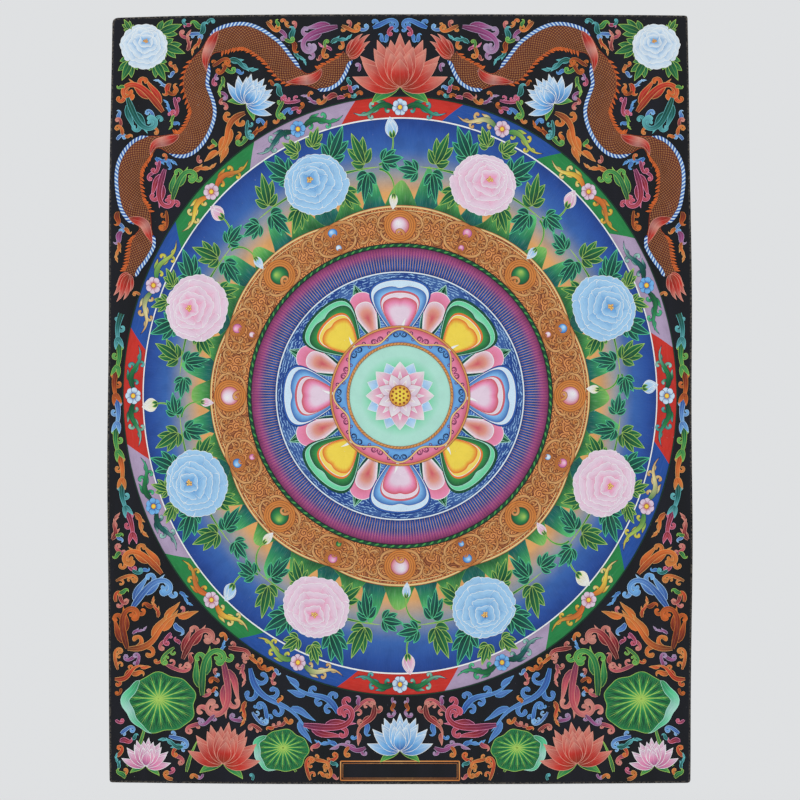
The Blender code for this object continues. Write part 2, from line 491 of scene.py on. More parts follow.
def medallion(angle, radius):
    """The place at an angle (clockwise from the top) and radius: a circle up to the gilt ring, and drawn
    out upright, more and more, from there to the border."""
    drawn_out = 1 + UPRIGHT * np.clip((radius - GOLD_OUTER) / (BAND_INNER - GOLD_OUTER), 0, 1)
    return radius * np.sin(angle), -CENTRE_DOWN + radius * np.cos(angle) * drawn_out


def round_centre(turn=0.0, radius=0.0):
    """Puts a drawing made about (0, 0), unbent and its top outwards, at an angle and radius."""
    sine, cosine = math.sin(math.radians(turn)), math.cos(math.radians(turn))
    place = medallion(math.radians(turn), radius)
    return lambda x, z: (place[0] + z * sine + x * cosine, place[1] + z * cosine - x * sine)


def round_ring(turn, radius):
    """Bends a drawing along the ring: x runs clockwise along it from the angle turn, z outwards."""
    return lambda x, z: medallion(math.radians(turn) + x / radius, radius + z)


def circle(count):
    """So many even angles round a circle."""
    return np.arange(count) * 2 * np.pi / count


def ring(work, inner, outer, height, stops, rows=6, columns=240, wavy=None, rim="white"):
    """A closed ring of paint: a grid of radii by angles, shaded from inner to outer by its stops. wavy
    gives how far each edge moves out at an angle."""
    share, angle = np.meshgrid(np.linspace(0, 1, rows), circle(columns), indexing="ij")
    lift = wavy(angle) if wavy else (0, 0)
    radius = (inner + lift[0]) * (1 - share) + (outer + lift[1]) * share
    edge = np.minimum(share, 1 - share) * (outer - inner)
    work.onto = lambda x, z: (x, z)
    work.lay(*medallion(angle, radius), height, wash(stops, share), rim=rim, inset=edge,
             brush=(radius, angle * 0.2), wrap=True)


sky = Brushwork()
ring(sky, SKY_INNER, SKY_OUTER, GROUND, SKY_PAINTS, rows=20, columns=300)
sky.dry("sky_ground", gouache("sky_washes", rim_strength=0.0, streaks=0.08, mottling=0.35))

# ------------------------------------------------------------------ The ring border
# Sixteen slanting panels in four grounds, each with a small flower and a spray to either side, inside
# a dark outer line and a white inner line. It is drawn in outline first and filled by hand.
PANELS, PANEL_SLANT = 16, 0.0090
PANEL_GROUNDS = ("red", "royal", "green", "lilac")
BAND_MIDDLE, BAND_WIDTH = (BAND_OUTER + BAND_INNER) / 2, BAND_OUTER - BAND_INNER
FLOWER_SIZE, FLOWER_PETALS, FLOWER_EYE = 0.0074, 7, ("yellow", "yellow", "orange")
SPRAY_START, SPRAY_LENGTH, SPRAY_HALF_WIDTH, SPRAY_SWAY = (0.0055, -0.0010), 0.0430, 0.0031, 30
WHITE_LINE, DARK_LINE = (BAND_INNER - 0.0006, BAND_INNER + 0.0005), (BAND_OUTER - 0.0002, BAND_OUTER + 0.0007)
CLOSER_AT_END = 1.5
FINEST = 0.00006              # the half width to which a stroke runs out
SHADE_OF = np.array([1, 1, 0.8, 0])           # how much a shade takes from each channel of a paint


def wander(start, heading, length, bend=0.0, hook=0.0, sway=0.0, samples=32, power=4):
    """The points of a line that sets out at heading (degrees from +x) and turns evenly by bend, by hook
    as a power of the way along, and to and fro by sway times a cosine. They are closer near its end."""
    share = 1 - (1 - np.linspace(0, 1, samples)) ** CLOSER_AT_END
    angle = np.radians(heading + bend * share + hook * share ** power + sway * np.cos(2 * np.pi * share))
    step = np.diff(share) * length

    def run(turn):
        return np.concatenate([[0.0], np.cumsum((turn[1:] + turn[:-1]) / 2 * step)])

    return start[0] + run(np.cos(angle)), start[1] + run(np.sin(angle)), np.degrees(angle)


# Each of the next shapes gives a half width, as a share of the widest, from the share of the way along
# and from the widest half width as a share of the length.


def opening(share):
    """What a stem or a curl starts with: it swells over the first fifth of its way."""
    return np.sin(np.pi / 2 * np.clip(share / 0.22, 0, 1))


def pointed(share, slim=0):
    """A flame: it opens quickly and runs out to a point."""
    return np.sin(np.pi * np.clip(share, 0, 1) ** 0.62) ** 0.85


def running_out(share, slim=0):
    """A stem: it swells from its root and runs out to a point."""
    return (0.45 + 0.55 * opening(share)) * np.clip(1 - share, 0, 1) ** 0.65


def knobbed(share, slim):
    """A curl: it swells from its root, thins along it, and ends in a round ball."""
    from_end = (1 - share) / slim
    neck = (0.50 + 0.50 * opening(share)) * (1.0 - 0.50 * share)
    ball = np.sqrt(np.clip(1 - (from_end - 1) ** 2, 0, 1))
    return np.where(from_end < 1, ball, np.maximum(ball, neck))


def leafy(share, slim=0):
    """A leaf: widest below its middle, with a long point."""
    return np.sin(np.pi * np.clip(share, 0, 1) ** 0.80) ** 0.9


def rounded(share, slim=0):
    """A blunt petal: widest near its end, which is a half circle."""
    return np.sqrt(np.clip(1 - (2 * np.clip(share, 0, 1) ** 1.25 - 1) ** 2, 0, 1))


def even(share, slim=0):
    """A ruled line: as wide all along."""
    return np.ones_like(share)


def stroke(work, line, half_width, height, stops, rim="white", shape=running_out, columns=3, shade=0.35):
    """A brush stroke: a profile across the line, as wide at each point as shape says, washed along its
    length by stops and shaded to one side. Its end lies a little over its root."""
    x, z = np.asarray(line[0]), np.asarray(line[1])
    gone = np.concatenate([[0.0], np.cumsum(np.hypot(np.diff(x), np.diff(z)))])
    run_x, run_z = np.gradient(x, gone), np.gradient(z, gone)
    run = np.hypot(run_x, run_z)
    share = gone / gone[-1]
    half = np.maximum(half_width * shape(share, half_width / gone[-1]), FINEST)[:, None]
    across = np.linspace(-1, 1, columns)
    middle = half * across
    dark = shade * np.clip(0.5 - across / 2, 0, 1)[:, None]
    paint = wash(stops, share)[:, None, :] * (1 - dark * SHADE_OF)
    work.lay(x[:, None] - (run_z / run)[:, None] * middle, z[:, None] + (run_x / run)[:, None] * middle,
             height + PAINT_LAYER * 0.3 * share[:, None], paint, rim=rim, inset=half - np.abs(middle),
             middle=middle, brush=(gone[:, None] + x[0] * 7, middle + z[0] * 5))


def disc(work, x, z, radius, height, stops, rim="white", columns=14, rows=4):
    """A dot of paint, shaded outwards: a grid of radii by angles about a hair-wide middle."""
    share, angle = np.meshgrid(np.linspace(0.02, 1, rows), circle(columns), indexing="ij")
    work.lay(x + radius * share * np.sin(angle), z + radius * share * np.cos(angle), height,
             wash(stops, share), rim=rim, inset=radius * (1 - share), wrap=True)


def small_flower(work, deep, pale, rim, height):
    """A small round flower: blunt petals about an eye, every second one a little higher."""
    for number in range(FLOWER_PETALS):
        turn = 90 + 360 / FLOWER_PETALS * number
        root = 0.22 * FLOWER_SIZE
        start = (root * math.cos(math.radians(turn)), root * math.sin(math.radians(turn)))
        stroke(work, wander(start, turn, FLOWER_SIZE * 0.80, samples=10), FLOWER_SIZE * 0.43,
               height + (number % 2) * PAINT_LAYER * 0.5, (deep, pale, pale), rim, rounded, 7, 0.15)
    disc(work, 0, 0, FLOWER_SIZE * 0.34, height + PAINT_LAYER, FLOWER_EYE, "brown")


def spray(work, start, heading, length, half_width, height, stops, rim, turns, lobes, ending, side,
          samples=32):
    """A leafy scroll: a stem with lobes to its sides, given as share along it, side, reach and kind. A
    lick runs forward to a point, and a curl turns back into a ball. turns are wander's bend, hook and
    sway."""
    line = wander(start, heading, length, *turns, samples=samples)
    way_along = 1 - (1 - np.linspace(0, 1, samples)) ** CLOSER_AT_END
    for number, (share, way, reach, kind) in enumerate(lobes):
        place = int(np.searchsorted(way_along, share))
        root, facing = (line[0][place], line[1][place]), line[2][place]
        way, size = way * side, length * reach
        level = height + PAINT_LAYER * 0.3 * (number % 3)
        colours = stops[min(int(share * len(stops)), len(stops) - 2):]
        if kind == "curl":
            lobe = wander(root, facing + way * 16, size, way * 60, way * 230, samples=15, power=2.2)
            stroke(work, lobe, min(half_width * 0.74, size * 0.17), level, colours, rim, knobbed)
        else:
            lobe = wander(root, facing + way * 22, size, way * 10, -way * 50, way * 18, samples=12, power=2)
            stroke(work, lobe, min(half_width * 0.90, size * 0.17), level, colours, rim, pointed)
    stroke(work, line, half_width, height + PAINT_LAYER, stops, rim, ending)


band = Brushwork()
for panel in range(PANELS):
    share, run = np.meshgrid(np.linspace(0, 1, 4), np.linspace(0, 1, 17), indexing="ij")
    radius = BAND_INNER + share * BAND_WIDTH
    angle = (panel - 0.5 + run) * (2 * np.pi / PANELS) + (share - 0.5) * PANEL_SLANT / BAND_MIDDLE * 2
    ground = PANEL_GROUNDS[panel % 4]
    darker = 0.18 * np.abs(2 * share - 1)[..., None] * np.array([1, 1, 1, 0])
    band.lay(*medallion(angle, radius), UNDER, wash((ground, ground), share) * (1 - darker),
             rim="lamp_black", inset=np.minimum(share, 1 - share) * BAND_WIDTH, brush=(run * 0.1, radius))
band.dry("border_panels", gouache("border_grounds", rim_width=0.0006, rim_strength=0.7, streaks=0.2))

lines = Brushwork()
ring(lines, *WHITE_LINE, MIDDLE, ("white", "white"), rows=2, columns=360)
ring(lines, *DARK_LINE, MIDDLE, ("lamp_black", "deep_green"), rows=2, columns=360)
lines.dry("border_lines", gouache("white_and_dark_lines", rim_strength=0.0, streaks=0.1))

SPRAY_PAINTS = {                  # by ground: the near spray's paints, the far spray's, and their rim
    "red": (("deep_green", "green", "aqua"), ("deep_green", "green", "pale_mint"), "night"),
    "royal": (("green", "lime", "yellow"), ("green", "straw", "tan"), "night"),
    "green": (("orange", "gold_ochre", "yellow"), ("orange", "yellow", "straw"), "brown"),
    "lilac": (("deep_green", "green", "mint"), ("deep_green", "teal", "pale_mint"), "night"),
}
FLOWER_PAINTS = {                 # by ground: the petals' paint at their root, at their tip, and their rim
    "red": ("royal", "pale_sky", "night"),
    "royal": ("rose", "pale_pink", "plum"),
    "green": ("rose", "pale_pink", "plum"),
    "lilac": ("royal", "sky", "night"),
}
WAVE_LOBES = (                    # share along the stem, side, reach, kind
    (0.06, -1, 0.26, "curl"), (0.18, 1, 0.28, "lick"), (0.34, -1, 0.28, "lick"),
    (0.42, 1, 0.27, "curl"), (0.58, -1, 0.24, "curl"), (0.66, 1, 0.22, "lick"),
)

sprays, blossoms = Brushwork(), Brushwork()
for panel in range(PANELS):
    ground = PANEL_GROUNDS[panel % 4]
    near, far, rim = SPRAY_PAINTS[ground]
    sprays.onto = blossoms.onto = round_ring(panel * 360 / PANELS, BAND_MIDDLE)
    small_flower(blossoms, *FLOWER_PAINTS[ground], OVER)
    for way, stops in ((1, near), (-1, far)):
        spray(sprays, (way * SPRAY_START[0], SPRAY_START[1]), 90 - way * 90, SPRAY_LENGTH, SPRAY_HALF_WIDTH,
              MIDDLE, stops, rim, (0, 0, way * SPRAY_SWAY), WAVE_LOBES, running_out, way)
sprays.dry("border_sprays", gouache("border_sprays", rim_width=0.00035))
blossoms.dry("border_flowers", gouache("border_flowers", rim_width=0.0004))

# ------------------------------------------------------------------ The flower wreath
# Peonies, buds and cut leaves on the sky, alternately pink and blue, eight round the ring. Each petal is
# washed from a deep root to a nearly white scalloped edge.
WREATH_RADIUS, PEONY_SIZE, PEONIES = 0.2125, 0.0310, 8
PEONY_LEAN = 0.92             # a peony is seen a little from one side, so it is lower than wide
SCALLOP_RUN, SCALLOP_DEPTH = 0.0046, 0.0011
PETAL_SIDE_GAP = 0.00015      # thins a petal's pale line along its sides
PEONY_PLACE = (0, -0.001)     # across and outwards of the ring's middle
STAMENS, STAMEN_TURN = 8, 2.4
STEM_START, STEM_LENGTH, STEM_HALF_WIDTH = 0.020, 0.045, 0.0012
OUTER_LEAF_PLACE, OUTER_LEAF_TURN, OUTER_LEAF_LENGTH = (0.066, 0.0040), 6, 0.0210
BUD_SIZES = ((1, 0.0125), (-1, 0.0105))       # side of the ring's middle, size
BUD_STEM_BACK, BUD_STEM_ASIDE, BUD_STEM_LENGTH, BUD_STEM_HALF_WIDTH = 0.020, 0.0015, 0.026, 0.0011

# petals, base, tip and half width of each round of petals, as shares of the flower's size
PEONY_ROUNDS = (
    (7, 0.36, 1.02, 0.48),
    (6, 0.26, 0.84, 0.48),
    (5, 0.16, 0.65, 0.44),
    (4, 0.06, 0.47, 0.36),
    (4, -0.04, 0.29, 0.26),
)

# turn from the rib, then reach, start along the rib and half width as shares of the leaf, and layer
LEAF_LOBES = (
    (70, 0.50, 0.02, 0.150, 0.0),
    (-70, 0.50, 0.05, 0.150, 0.5),
    (38, 0.62, 0.16, 0.150, 0.9),
    (-38, 0.62, 0.20, 0.150, 1.3),
    (0, 1.00, 0.00, 0.165, 2.0),
)
TEAL_LEAF, GREEN_LEAF = ("deep_green", "teal", "mint"), ("deep_green", "green", "lime")
PEONY_PAINTS = (("pink", "pale_pink"), ("peony_blue", "peony_pale"))
BUD_PAINTS = (("pink", "pale_pink"), ("sky", "pale_sky"), ("straw", "white"))

# beside each peony, as on its right: across, outwards, heading, length, paints, bend
WREATH_LEAVES = (
    (0.019, 0.0130, 42, 0.0270, TEAL_LEAF, 20),
    (0.021, -0.0120, -30, 0.0250, GREEN_LEAF, -16),
    (0.050, 0.0030, 114, 0.0260, GREEN_LEAF, -10),
    (0.052, -0.0030, -114, 0.0250, TEAL_LEAF, 10),
    (0.006, 0.0260, 46, 0.0170, GREEN_LEAF, 16),
)
chance = np.random.default_rng(108)


def scalloped_petal(work, turn, base, tip, half, height, deep, pale, centre):
    """A fan of paint: across and outward shares, rounded off to each side and cut into scallops by the
    absolute value of a cosine, washed from deep at its root to pale at its edge."""
    share, across = np.meshgrid(np.linspace(0.0, 1.0, 6), np.linspace(-1, 1, 29), indexing="ij")
    scallops = np.abs(np.cos(across * half / SCALLOP_RUN * 2.6 + chance.uniform(0, 3))) ** 0.6
    width = half * (0.34 + 0.66 * share ** 0.7)
    out = base + (tip - base) * share * (1 - 0.26 * np.abs(across) ** 2.6)
    out = out + (scallops - 0.6) * SCALLOP_DEPTH * share
    aside = width * np.sin(across * np.pi / 2 * 0.98)
    sine, cosine = math.sin(math.radians(turn)), math.cos(math.radians(turn))
    inset = np.minimum((1 - np.abs(across)) * width * 1.2 + PETAL_SIDE_GAP, (1 - share) * (tip - base))
    crease = np.clip((1 - share) * 2.1 - 0.25 + 0.50 * np.abs(across) ** 4, 0, 1)
    work.lay(centre[0] + out * sine + aside * cosine, centre[1] + (out * cosine - aside * sine) * PEONY_LEAN,
             height, wash((pale, deep), crease), inset=inset, brush=(aside, out))


def peony(work, centre, size, deep, pale, height):
    """A full peony: rounds of petals from the outside in, the inner ones deeper in colour and further to
    the side that faces the viewer, with a few yellow stamens between them."""
    side = math.radians(chance.uniform(-40, 40))
    for number, (petals, base, tip, half) in enumerate(PEONY_ROUNDS):
        shift = size * 0.060 * number
        place = (centre[0] + shift * math.sin(side), centre[1] + shift * math.cos(side))
        depth = 0.50 + 0.30 * number / (len(PEONY_ROUNDS) - 1)
        root = dried(deep) * depth + dried(pale) * (1 - depth)
        first = chance.uniform(0, 360 / petals)
        for petal in range(petals):
            layer = 2 if petal == petals - 1 and petals % 2 else petal % 2
            grown = size * chance.uniform(0.95, 1.04)
            turn = first + 360 / petals * petal + chance.uniform(-6, 6)
            level = height + PAINT_LAYER * (number * 1.5 + layer * 0.55)
            scalloped_petal(work, turn, base * grown, tip * grown, half * grown, level, root, pale, place)
    for stamen in range(STAMENS):
        aim, reach = stamen * STAMEN_TURN, size * 0.032 * math.sqrt(stamen)
        level = height + PAINT_LAYER * (len(PEONY_ROUNDS) * 1.5 + 0.3 * (stamen % 3))
        disc(work, place[0] + reach * math.sin(aim), place[1] + reach * math.cos(aim), size * 0.036,
             level, ("straw", "yellow"), "gold_ochre", 8, 2)


def lobed_leaf(work, start, heading, length, height, paints, bend=0.0):
    """A peony leaf: two pairs of broad side lobes under a longer middle one, all along one rib."""
    dark, light, rim = paints
    aim = (math.cos(math.radians(heading)), math.sin(math.radians(heading)))
    for turn, reach, along, wide, layer in LEAF_LOBES:
        root = (start[0] + aim[0] * length * along, start[1] + aim[1] * length * along)
        lobe = wander(root, heading + turn, length * reach, -turn * 0.4 + bend, samples=14)
        stroke(work, lobe, length * wide, height + PAINT_LAYER * layer * 0.5, (dark, light), rim, leafy,
               shade=0.45)


def bud(work, start, heading, size, height, paints):
    """A closed bud: one egg-shaped petal with two more wrapped round it, in a small green calyx."""
    stroke(work, wander(start, heading, size * 1.25, samples=12), size * 0.44, height, paints, "white",
           leafy, 5, 0.15)
    for side, bend in ((-1, 30), (1, -34)):
        stroke(work, wander(start, heading + side * 20, size * 1.05, bend, samples=12), size * 0.25,
               height + PAINT_LAYER * (1.0 + side * 0.4), paints, "white", leafy, shade=0.15)
        stroke(work, wander(start, heading + side * 42, size * 0.50, -side * 60, samples=8), size * 0.12,
               height + PAINT_LAYER * 2, ("deep_green", "green"), "lime", leafy)


stems, leaves, peonies = Brushwork(), Brushwork(), Brushwork()
for number in range(PEONIES):
    turn = (number + 0.5) * 360 / PEONIES
    stems.onto = leaves.onto = round_ring(turn, WREATH_RADIUS)
    peonies.onto = round_centre(turn, WREATH_RADIUS)
    peony(peonies, PEONY_PLACE, PEONY_SIZE, *PEONY_PAINTS[number % 2], OVER)
    for way in (-1, 1):
        for x, z, heading, length, paints, bend in WREATH_LEAVES:
            heading = 90 - way * (90 - heading)
            lobed_leaf(leaves, (way * x, z), heading, length, MIDDLE, paints, way * bend)
        outer = 90 - way * 90
        lobed_leaf(leaves, [way * part for part in OUTER_LEAF_PLACE], outer + way * OUTER_LEAF_TURN,
                   OUTER_LEAF_LENGTH, MIDDLE + PAINT_LAYER * 1.5, TEAL_LEAF)
        stem = wander((way * STEM_START, 0.0), outer, STEM_LENGTH, samples=16)
        stroke(stems, stem, STEM_HALF_WIDTH, UNDER, ("deep_green", "green", "grass"), "lime", shade=0.3)
    between = math.pi * WREATH_RADIUS / PEONIES
    peonies.onto = round_ring(turn, WREATH_RADIUS)
    for side, size in BUD_SIZES:
        start = (between - BUD_STEM_BACK, side * BUD_STEM_ASIDE)
        stem = wander(start, side * 8, BUD_STEM_LENGTH, side * 92, samples=14)
        stroke(stems, stem, BUD_STEM_HALF_WIDTH, UNDER, ("green", "grass"), "lime",
               lambda share, _: 1 - 0.4 * share)
        paints = BUD_PAINTS[(number + (side < 0)) % 3]
        bud(peonies, (stem[0][-1], stem[1][-1]), side * 98, size, MIDDLE, paints)
stems.dry("wreath_stems", gouache("stem_green", rim_width=0.0004))
leaves.dry("wreath_leaves", gouache("leaf_greens", vein=0.8, streaks=0.5))
peonies.dry("wreath_peonies", gouache("peony_washes", streaks=0.45, mottling=0.15))

# ------------------------------------------------------------------ The hills
# Steep green hills with round tops and spreading feet stand in two rows about the gilt ring, lit at their
# tops and shaded to one side and at their feet. They are brushed over the sky and lie under the flowers.
HILLS, HILL_FOOT = 24, 0.1740                            # hills in a row, and the radius of their feet
HILL_RISES, HILL_HALF_WIDTHS = (0.0250, 0.0350, 0.0215, 0.0300), (0.0230, 0.0170)     # front, back by turns
HILL_PAINTS = (
    ("deep_green", "hill_shade", "hill_green", "hill_light"),
    ("deep_green", "teal", "far_hill", "far_light"),
)
SHOULDER_AT, SHOULDER_WIDTH, SHOULDER = 0.42, 0.20, 0.16
HILL_SHADE = 0.30
hills = Brushwork()
for number in range(HILLS * 2):
    behind = number % 2
    rise, half = HILL_RISES[number % 4], HILL_HALF_WIDTHS[behind]
    share, across = np.meshgrid(np.linspace(0, 1, 7), np.linspace(-1, 1, 25), indexing="ij")
    shoulder = SHOULDER * np.exp(-((across - SHOULDER_AT) / SHOULDER_WIDTH) ** 2) * (-1) ** (number // 2)
    slope = np.exp(-(across * 1.9) ** 2) + shoulder
    top = rise * (slope * (1 + 0.04 * np.sin(across * 11 + number)) + 0.10)
    shade = HILL_SHADE * np.clip(np.sin(across * 5 + number), 0, 1) * (share > 0.3)
    hills.onto = round_ring(number * 180 / HILLS, HILL_FOOT)
    hills.lay(across * half, top * share, GROUND + PAINT_LAYER * (0.6 - 0.3 * behind),
              wash(HILL_PAINTS[behind], share * top / rise) * (1 - shade[..., None] * SHADE_OF),
              rim="lime", inset=(1 - share) * top, brush=(top * share, across * half))
hills.dry("green_hills", gouache("hill_washes", rim_width=0.0004, rim_strength=0.35, streaks=0.7,
                                 mottling=0.35))

# ------------------------------------------------------------------ The gilt scroll ring
# A broad ring of ochre and gold, lobed eight times and drawn over with brown scrolls so close that it
# looks carved. Large and small painted stones sit in it, and a green cord closes it on the inside.
LOBES, LOBE_DEPTH = 8, 0.0060
GOLD_MIDDLE = (GOLD_OUTER + GOLD_INNER) / 2
CURLS_PER_METRE = 125
CORD_TURNS, CORD_WIDTH = 120, 0.0042
CORD_SHADES = ("lamp_black", "deep_green", "deep_green", "lamp_black")
GILT_CURL = ("gold_ochre", "gold_light", "gold_ochre")
STONE_PAINTS = (
    ("white", "pale_pink", "rose"),
    ("lime", "green", "deep_green"),
    ("white", "pale_sky", "water"),
    ("pale_pink", "pink", "magenta"),
    ("pale_sky", "sky", "royal"),
)
COLLARS = (                       # width in stones, and paints from the middle out
    (1.72, ("gold_ochre", "tan", "gold_ochre")),
    (1.48, ("tan", "tan", "gold_ochre")),
    (1.24, ("tan", "gold_ochre")),
)
GILT_LINES, GILT_OVERHANG = ((0.0, 0.0018), (-0.0034, 0.0011)), 0.0004      # each line's shift and width
UNDERLAP = 0.001                  # how far a ring's ground runs in under the next ring
# the stones: across, outwards, radius
BIG_STONE, UPPER_STONE, LOWER_STONE = (0, 0.0005, 0.0090), (0, 0.0062, 0.0046), (0, -0.0092, 0.0032)
CORD_STRAND, CORD_STRAND_HALF = ((-0.0032, -0.0014), 24, 0.0070), 0.0011    # start, heading, length
# start across and outwards, heading, length, bend, curl at the end, half width
GILT_SCROLLS = (
    (0.0000, 0.0135, 4, 0.044, -44, -330, 0.00175),
    (0.0000, -0.0145, -2, 0.040, 40, 330, 0.00175),
    (0.0060, 0.0110, -34, 0.026, -60, -320, 0.00150),
    (0.0065, -0.0120, 32, 0.024, 70, 320, 0.00150),
    (0.0330, 0.0020, 100, 0.026, 90, 290, 0.00150),
    (0.0335, -0.0040, -100, 0.024, -90, -300, 0.00150),
    (0.0130, 0.0010, 50, 0.019, -90, -300, 0.00130),
    (0.0130, -0.0020, -44, 0.018, 90, 300, 0.00130),
    (0.0215, 0.0020, 20, 0.016, 70, 300, 0.00120),
    (0.0215, -0.0040, -30, 0.015, -60, -290, 0.00120),
    (0.0262, 0.0138, 190, 0.013, 60, 260, 0.00110),
    (0.0262, -0.0142, 165, 0.013, -60, -270, 0.00110),
)


def eight_lobes(angle):
    """How far the outer edge moves out: eight round lobes that meet in soft cusps."""
    return LOBE_DEPTH * (np.abs(np.cos(angle * LOBES / 2)) ** 0.7 - 0.45)


def carved_curls(recipe, *_):
    """Small spirals as close as carving: each Voronoi cell turns about its own point, and a line is drawn
    where the sine of far / pitch + angle is high; the hollows where cells meet stay dark."""
    across, upward = recipe.split(recipe.places, "XZ")
    flat = recipe.node("ShaderNodeCombineXYZ", {},
                       {"X": across * CURLS_PER_METRE, "Y": upward * CURLS_PER_METRE})
    cells = {"voronoi_dimensions": "2D"}, {"Vector": flat, "Scale": 1.0, "Randomness": 0.75}
    far, point = (recipe.node("ShaderNodeTexVoronoi", *cells, out=out) for out in ("Distance", "Position"))
    x, y = recipe.split(recipe.vector("SUBTRACT", flat, point), "XY")
    spiral = (far * 21.0 + far.math("ARCTAN2", y, x)).sine()
    carved = recipe.mix("groove", "ridge", spiral.step(-0.80, 0.10))
    return recipe.mix(carved, "hollow", far.step(0.56, 0.72) * 0.7)


def fill(work, x, z, middle, height, stops, rim, rows=5):
    """A closed shape filled from its middle out: rings that shrink its outline towards one point."""
    share = np.linspace(0.02, 1, rows)[:, None]
    run_x, run_z = np.roll(x, -1) - np.roll(x, 1), np.roll(z, -1) - np.roll(z, 1)
    off_x, off_z = x - middle[0], z - middle[1]
    away = np.abs(off_x * run_z - off_z * run_x) / np.maximum(np.hypot(run_x, run_z), 1e-9)
    work.lay(middle[0] + off_x * share, middle[1] + off_z * share, height,
             wash(stops, share * np.ones_like(x)), rim=rim, inset=(1 - share) * away,
             brush=(share * away, x + 0 * share), wrap=True)


def set_stone(work, x, z, radius, paints, height, side=1):
    """A painted cabochon: gilt collars lined in brown, the stone shaded to its rim, and a gilt curl that
    runs in from the collar to the stone's middle."""
    for grown, stops in COLLARS:
        disc(work, x, z, radius * grown, height, stops, "brown", 28, 2)
        height += PAINT_LAYER * 0.6
    angle = circle(28)
    middle = (x - radius * 0.25, z + radius * 0.38)
    fill(work, x + radius * np.sin(angle), z + radius * np.cos(angle), middle, height, paints, "brown", 6)
    curl = wander((x - side * radius * 0.50, z - radius * 1.20), 90 - side * 4, radius * 2.3, -side * 70,
                  -side * 330, samples=26, power=2.4)
    stroke(work, curl, radius * 0.20, height + PAINT_LAYER * 0.8, GILT_CURL, "rust", knobbed, shade=0.2)


gilt = Brushwork()
ring(gilt, GOLD_INNER - UNDERLAP, GOLD_OUTER, UNDER, ("carved", "carved"), 8, 320,
     lambda angle: (0, eight_lobes(angle)), "rust")
gilt.dry("gilt_ring_ground", gouache("carved_gold", streaks=0.3, mottling=0.3, roughness=0.62,
                                     pattern=carved_curls))
gilt = Brushwork()
for shift, width in GILT_LINES:
    edge = GOLD_OUTER + shift
    ring(gilt, edge - width, edge + GILT_OVERHANG, MIDDLE, ("tan", "straw", "gold_ochre"),
         4, 320, lambda angle: (eight_lobes(angle), eight_lobes(angle)), "rust")
gilt.dry("gilt_ring_lines", gouache("ochre_and_gold", rim_width=0.0004, streaks=0.5, mottling=0.3,
                                    roughness=0.62))

scrolls, stones = Brushwork(), Brushwork()
for number in range(LOBES * 2):
    scrolls.onto = stones.onto = round_ring(number * 180 / LOBES, GOLD_MIDDLE)
    for side in (-1, 1):
        for x, z, heading, length, bend, hook, wide in GILT_SCROLLS:
            line = wander((side * x, z), 90 - side * (90 - heading), length, side * bend, side * hook,
                          samples=22, power=3)
            layer = 0.3 + 0.4 * (number % 2) + 0.35 * (z > 0) + 200 * wide
            stroke(scrolls, line, wide * 1.15, MIDDLE + PAINT_LAYER * layer, GILT_CURL, "brown", knobbed,
                   shade=0.30)
    second = number // 2 % 2
    if number % 2:
        set_stone(stones, *UPPER_STONE, STONE_PAINTS[3 + second], OVER)
        set_stone(stones, *LOWER_STONE, STONE_PAINTS[(number + 2) % 5], OVER, -1)
    else:
        set_stone(stones, *BIG_STONE, STONE_PAINTS[second], OVER, 1 if second else -1)
scrolls.dry("gilt_scrolls", gouache("gilt_scroll_lines", roughness=0.60))
stones.dry("painted_stones", gouache("stone_colours", rim_width=0.0004, streaks=0.1, roughness=0.5))

cord = Brushwork()
ring(cord, GOLD_INNER - CORD_WIDTH, GOLD_INNER, MIDDLE, CORD_SHADES, 4, 280, rim="lamp_black")
for number in range(CORD_TURNS):
    cord.onto = round_ring(number * 360 / CORD_TURNS, GOLD_INNER - CORD_WIDTH / 2)
    stroke(cord, wander(*CORD_STRAND, samples=6), CORD_STRAND_HALF, OVER, ("green", "grass", "green"),
           "deep_green", pointed, 3, 0.2)
cord.dry("green_cord", gouache("cord_green", rim_width=0.00035))

# ------------------------------------------------------------------ The rays and the water
# A dark ring washed from plum to blue to navy, crossed by hair-fine rays, dark and gold by turns, and
# inside it a pool whose ripples are drawn with a fine brush in paler blue.
RAY_OUTER, RAY_INNER = GOLD_INNER - CORD_WIDTH + 0.0004, 0.1190
RAYS, RAY_HALF_WIDTH, RAY_REACHES, RAY_END_GAP = 640, 0.00022, (0.97, 0.72, 0.88, 0.64), 0.0016
POOL_INNER, POOL_LINE_HALF, RIPPLE_RUN = 0.0560, 0.0006, 2600
POOL_SHADE_FROM, POOL_SHADE_TO = 0.010, 0.070
glow = Brushwork()
ring(glow, RAY_INNER - UNDERLAP, RAY_OUTER, UNDER, ("navy", "royal", "royal", "magenta", "plum"), rows=12)
glow.dry("ray_ground", gouache("plum_and_blue_wash", rim_strength=0.0, streaks=0.3, mottling=0.4))
rays = Brushwork()
for number in range(RAYS):
    rays.onto = round_centre(number * 360 / RAYS)
    inner = RAY_OUTER - UNDERLAP - (RAY_OUTER - RAY_INNER) * RAY_REACHES[number % 4]
    paints = ("night", "plum") if number % 2 else ("tan", "tan", "rose")
    stroke(rays, (np.zeros(6), np.linspace(inner, RAY_OUTER - RAY_END_GAP, 6)), RAY_HALF_WIDTH,
           UNDER + PAINT_LAYER * 0.6, paints, paints[0], pointed, 2, 0.0)
rays.dry("fine_rays", gouache("ray_gold", rim_strength=0.0, streaks=0.2, roughness=0.55))


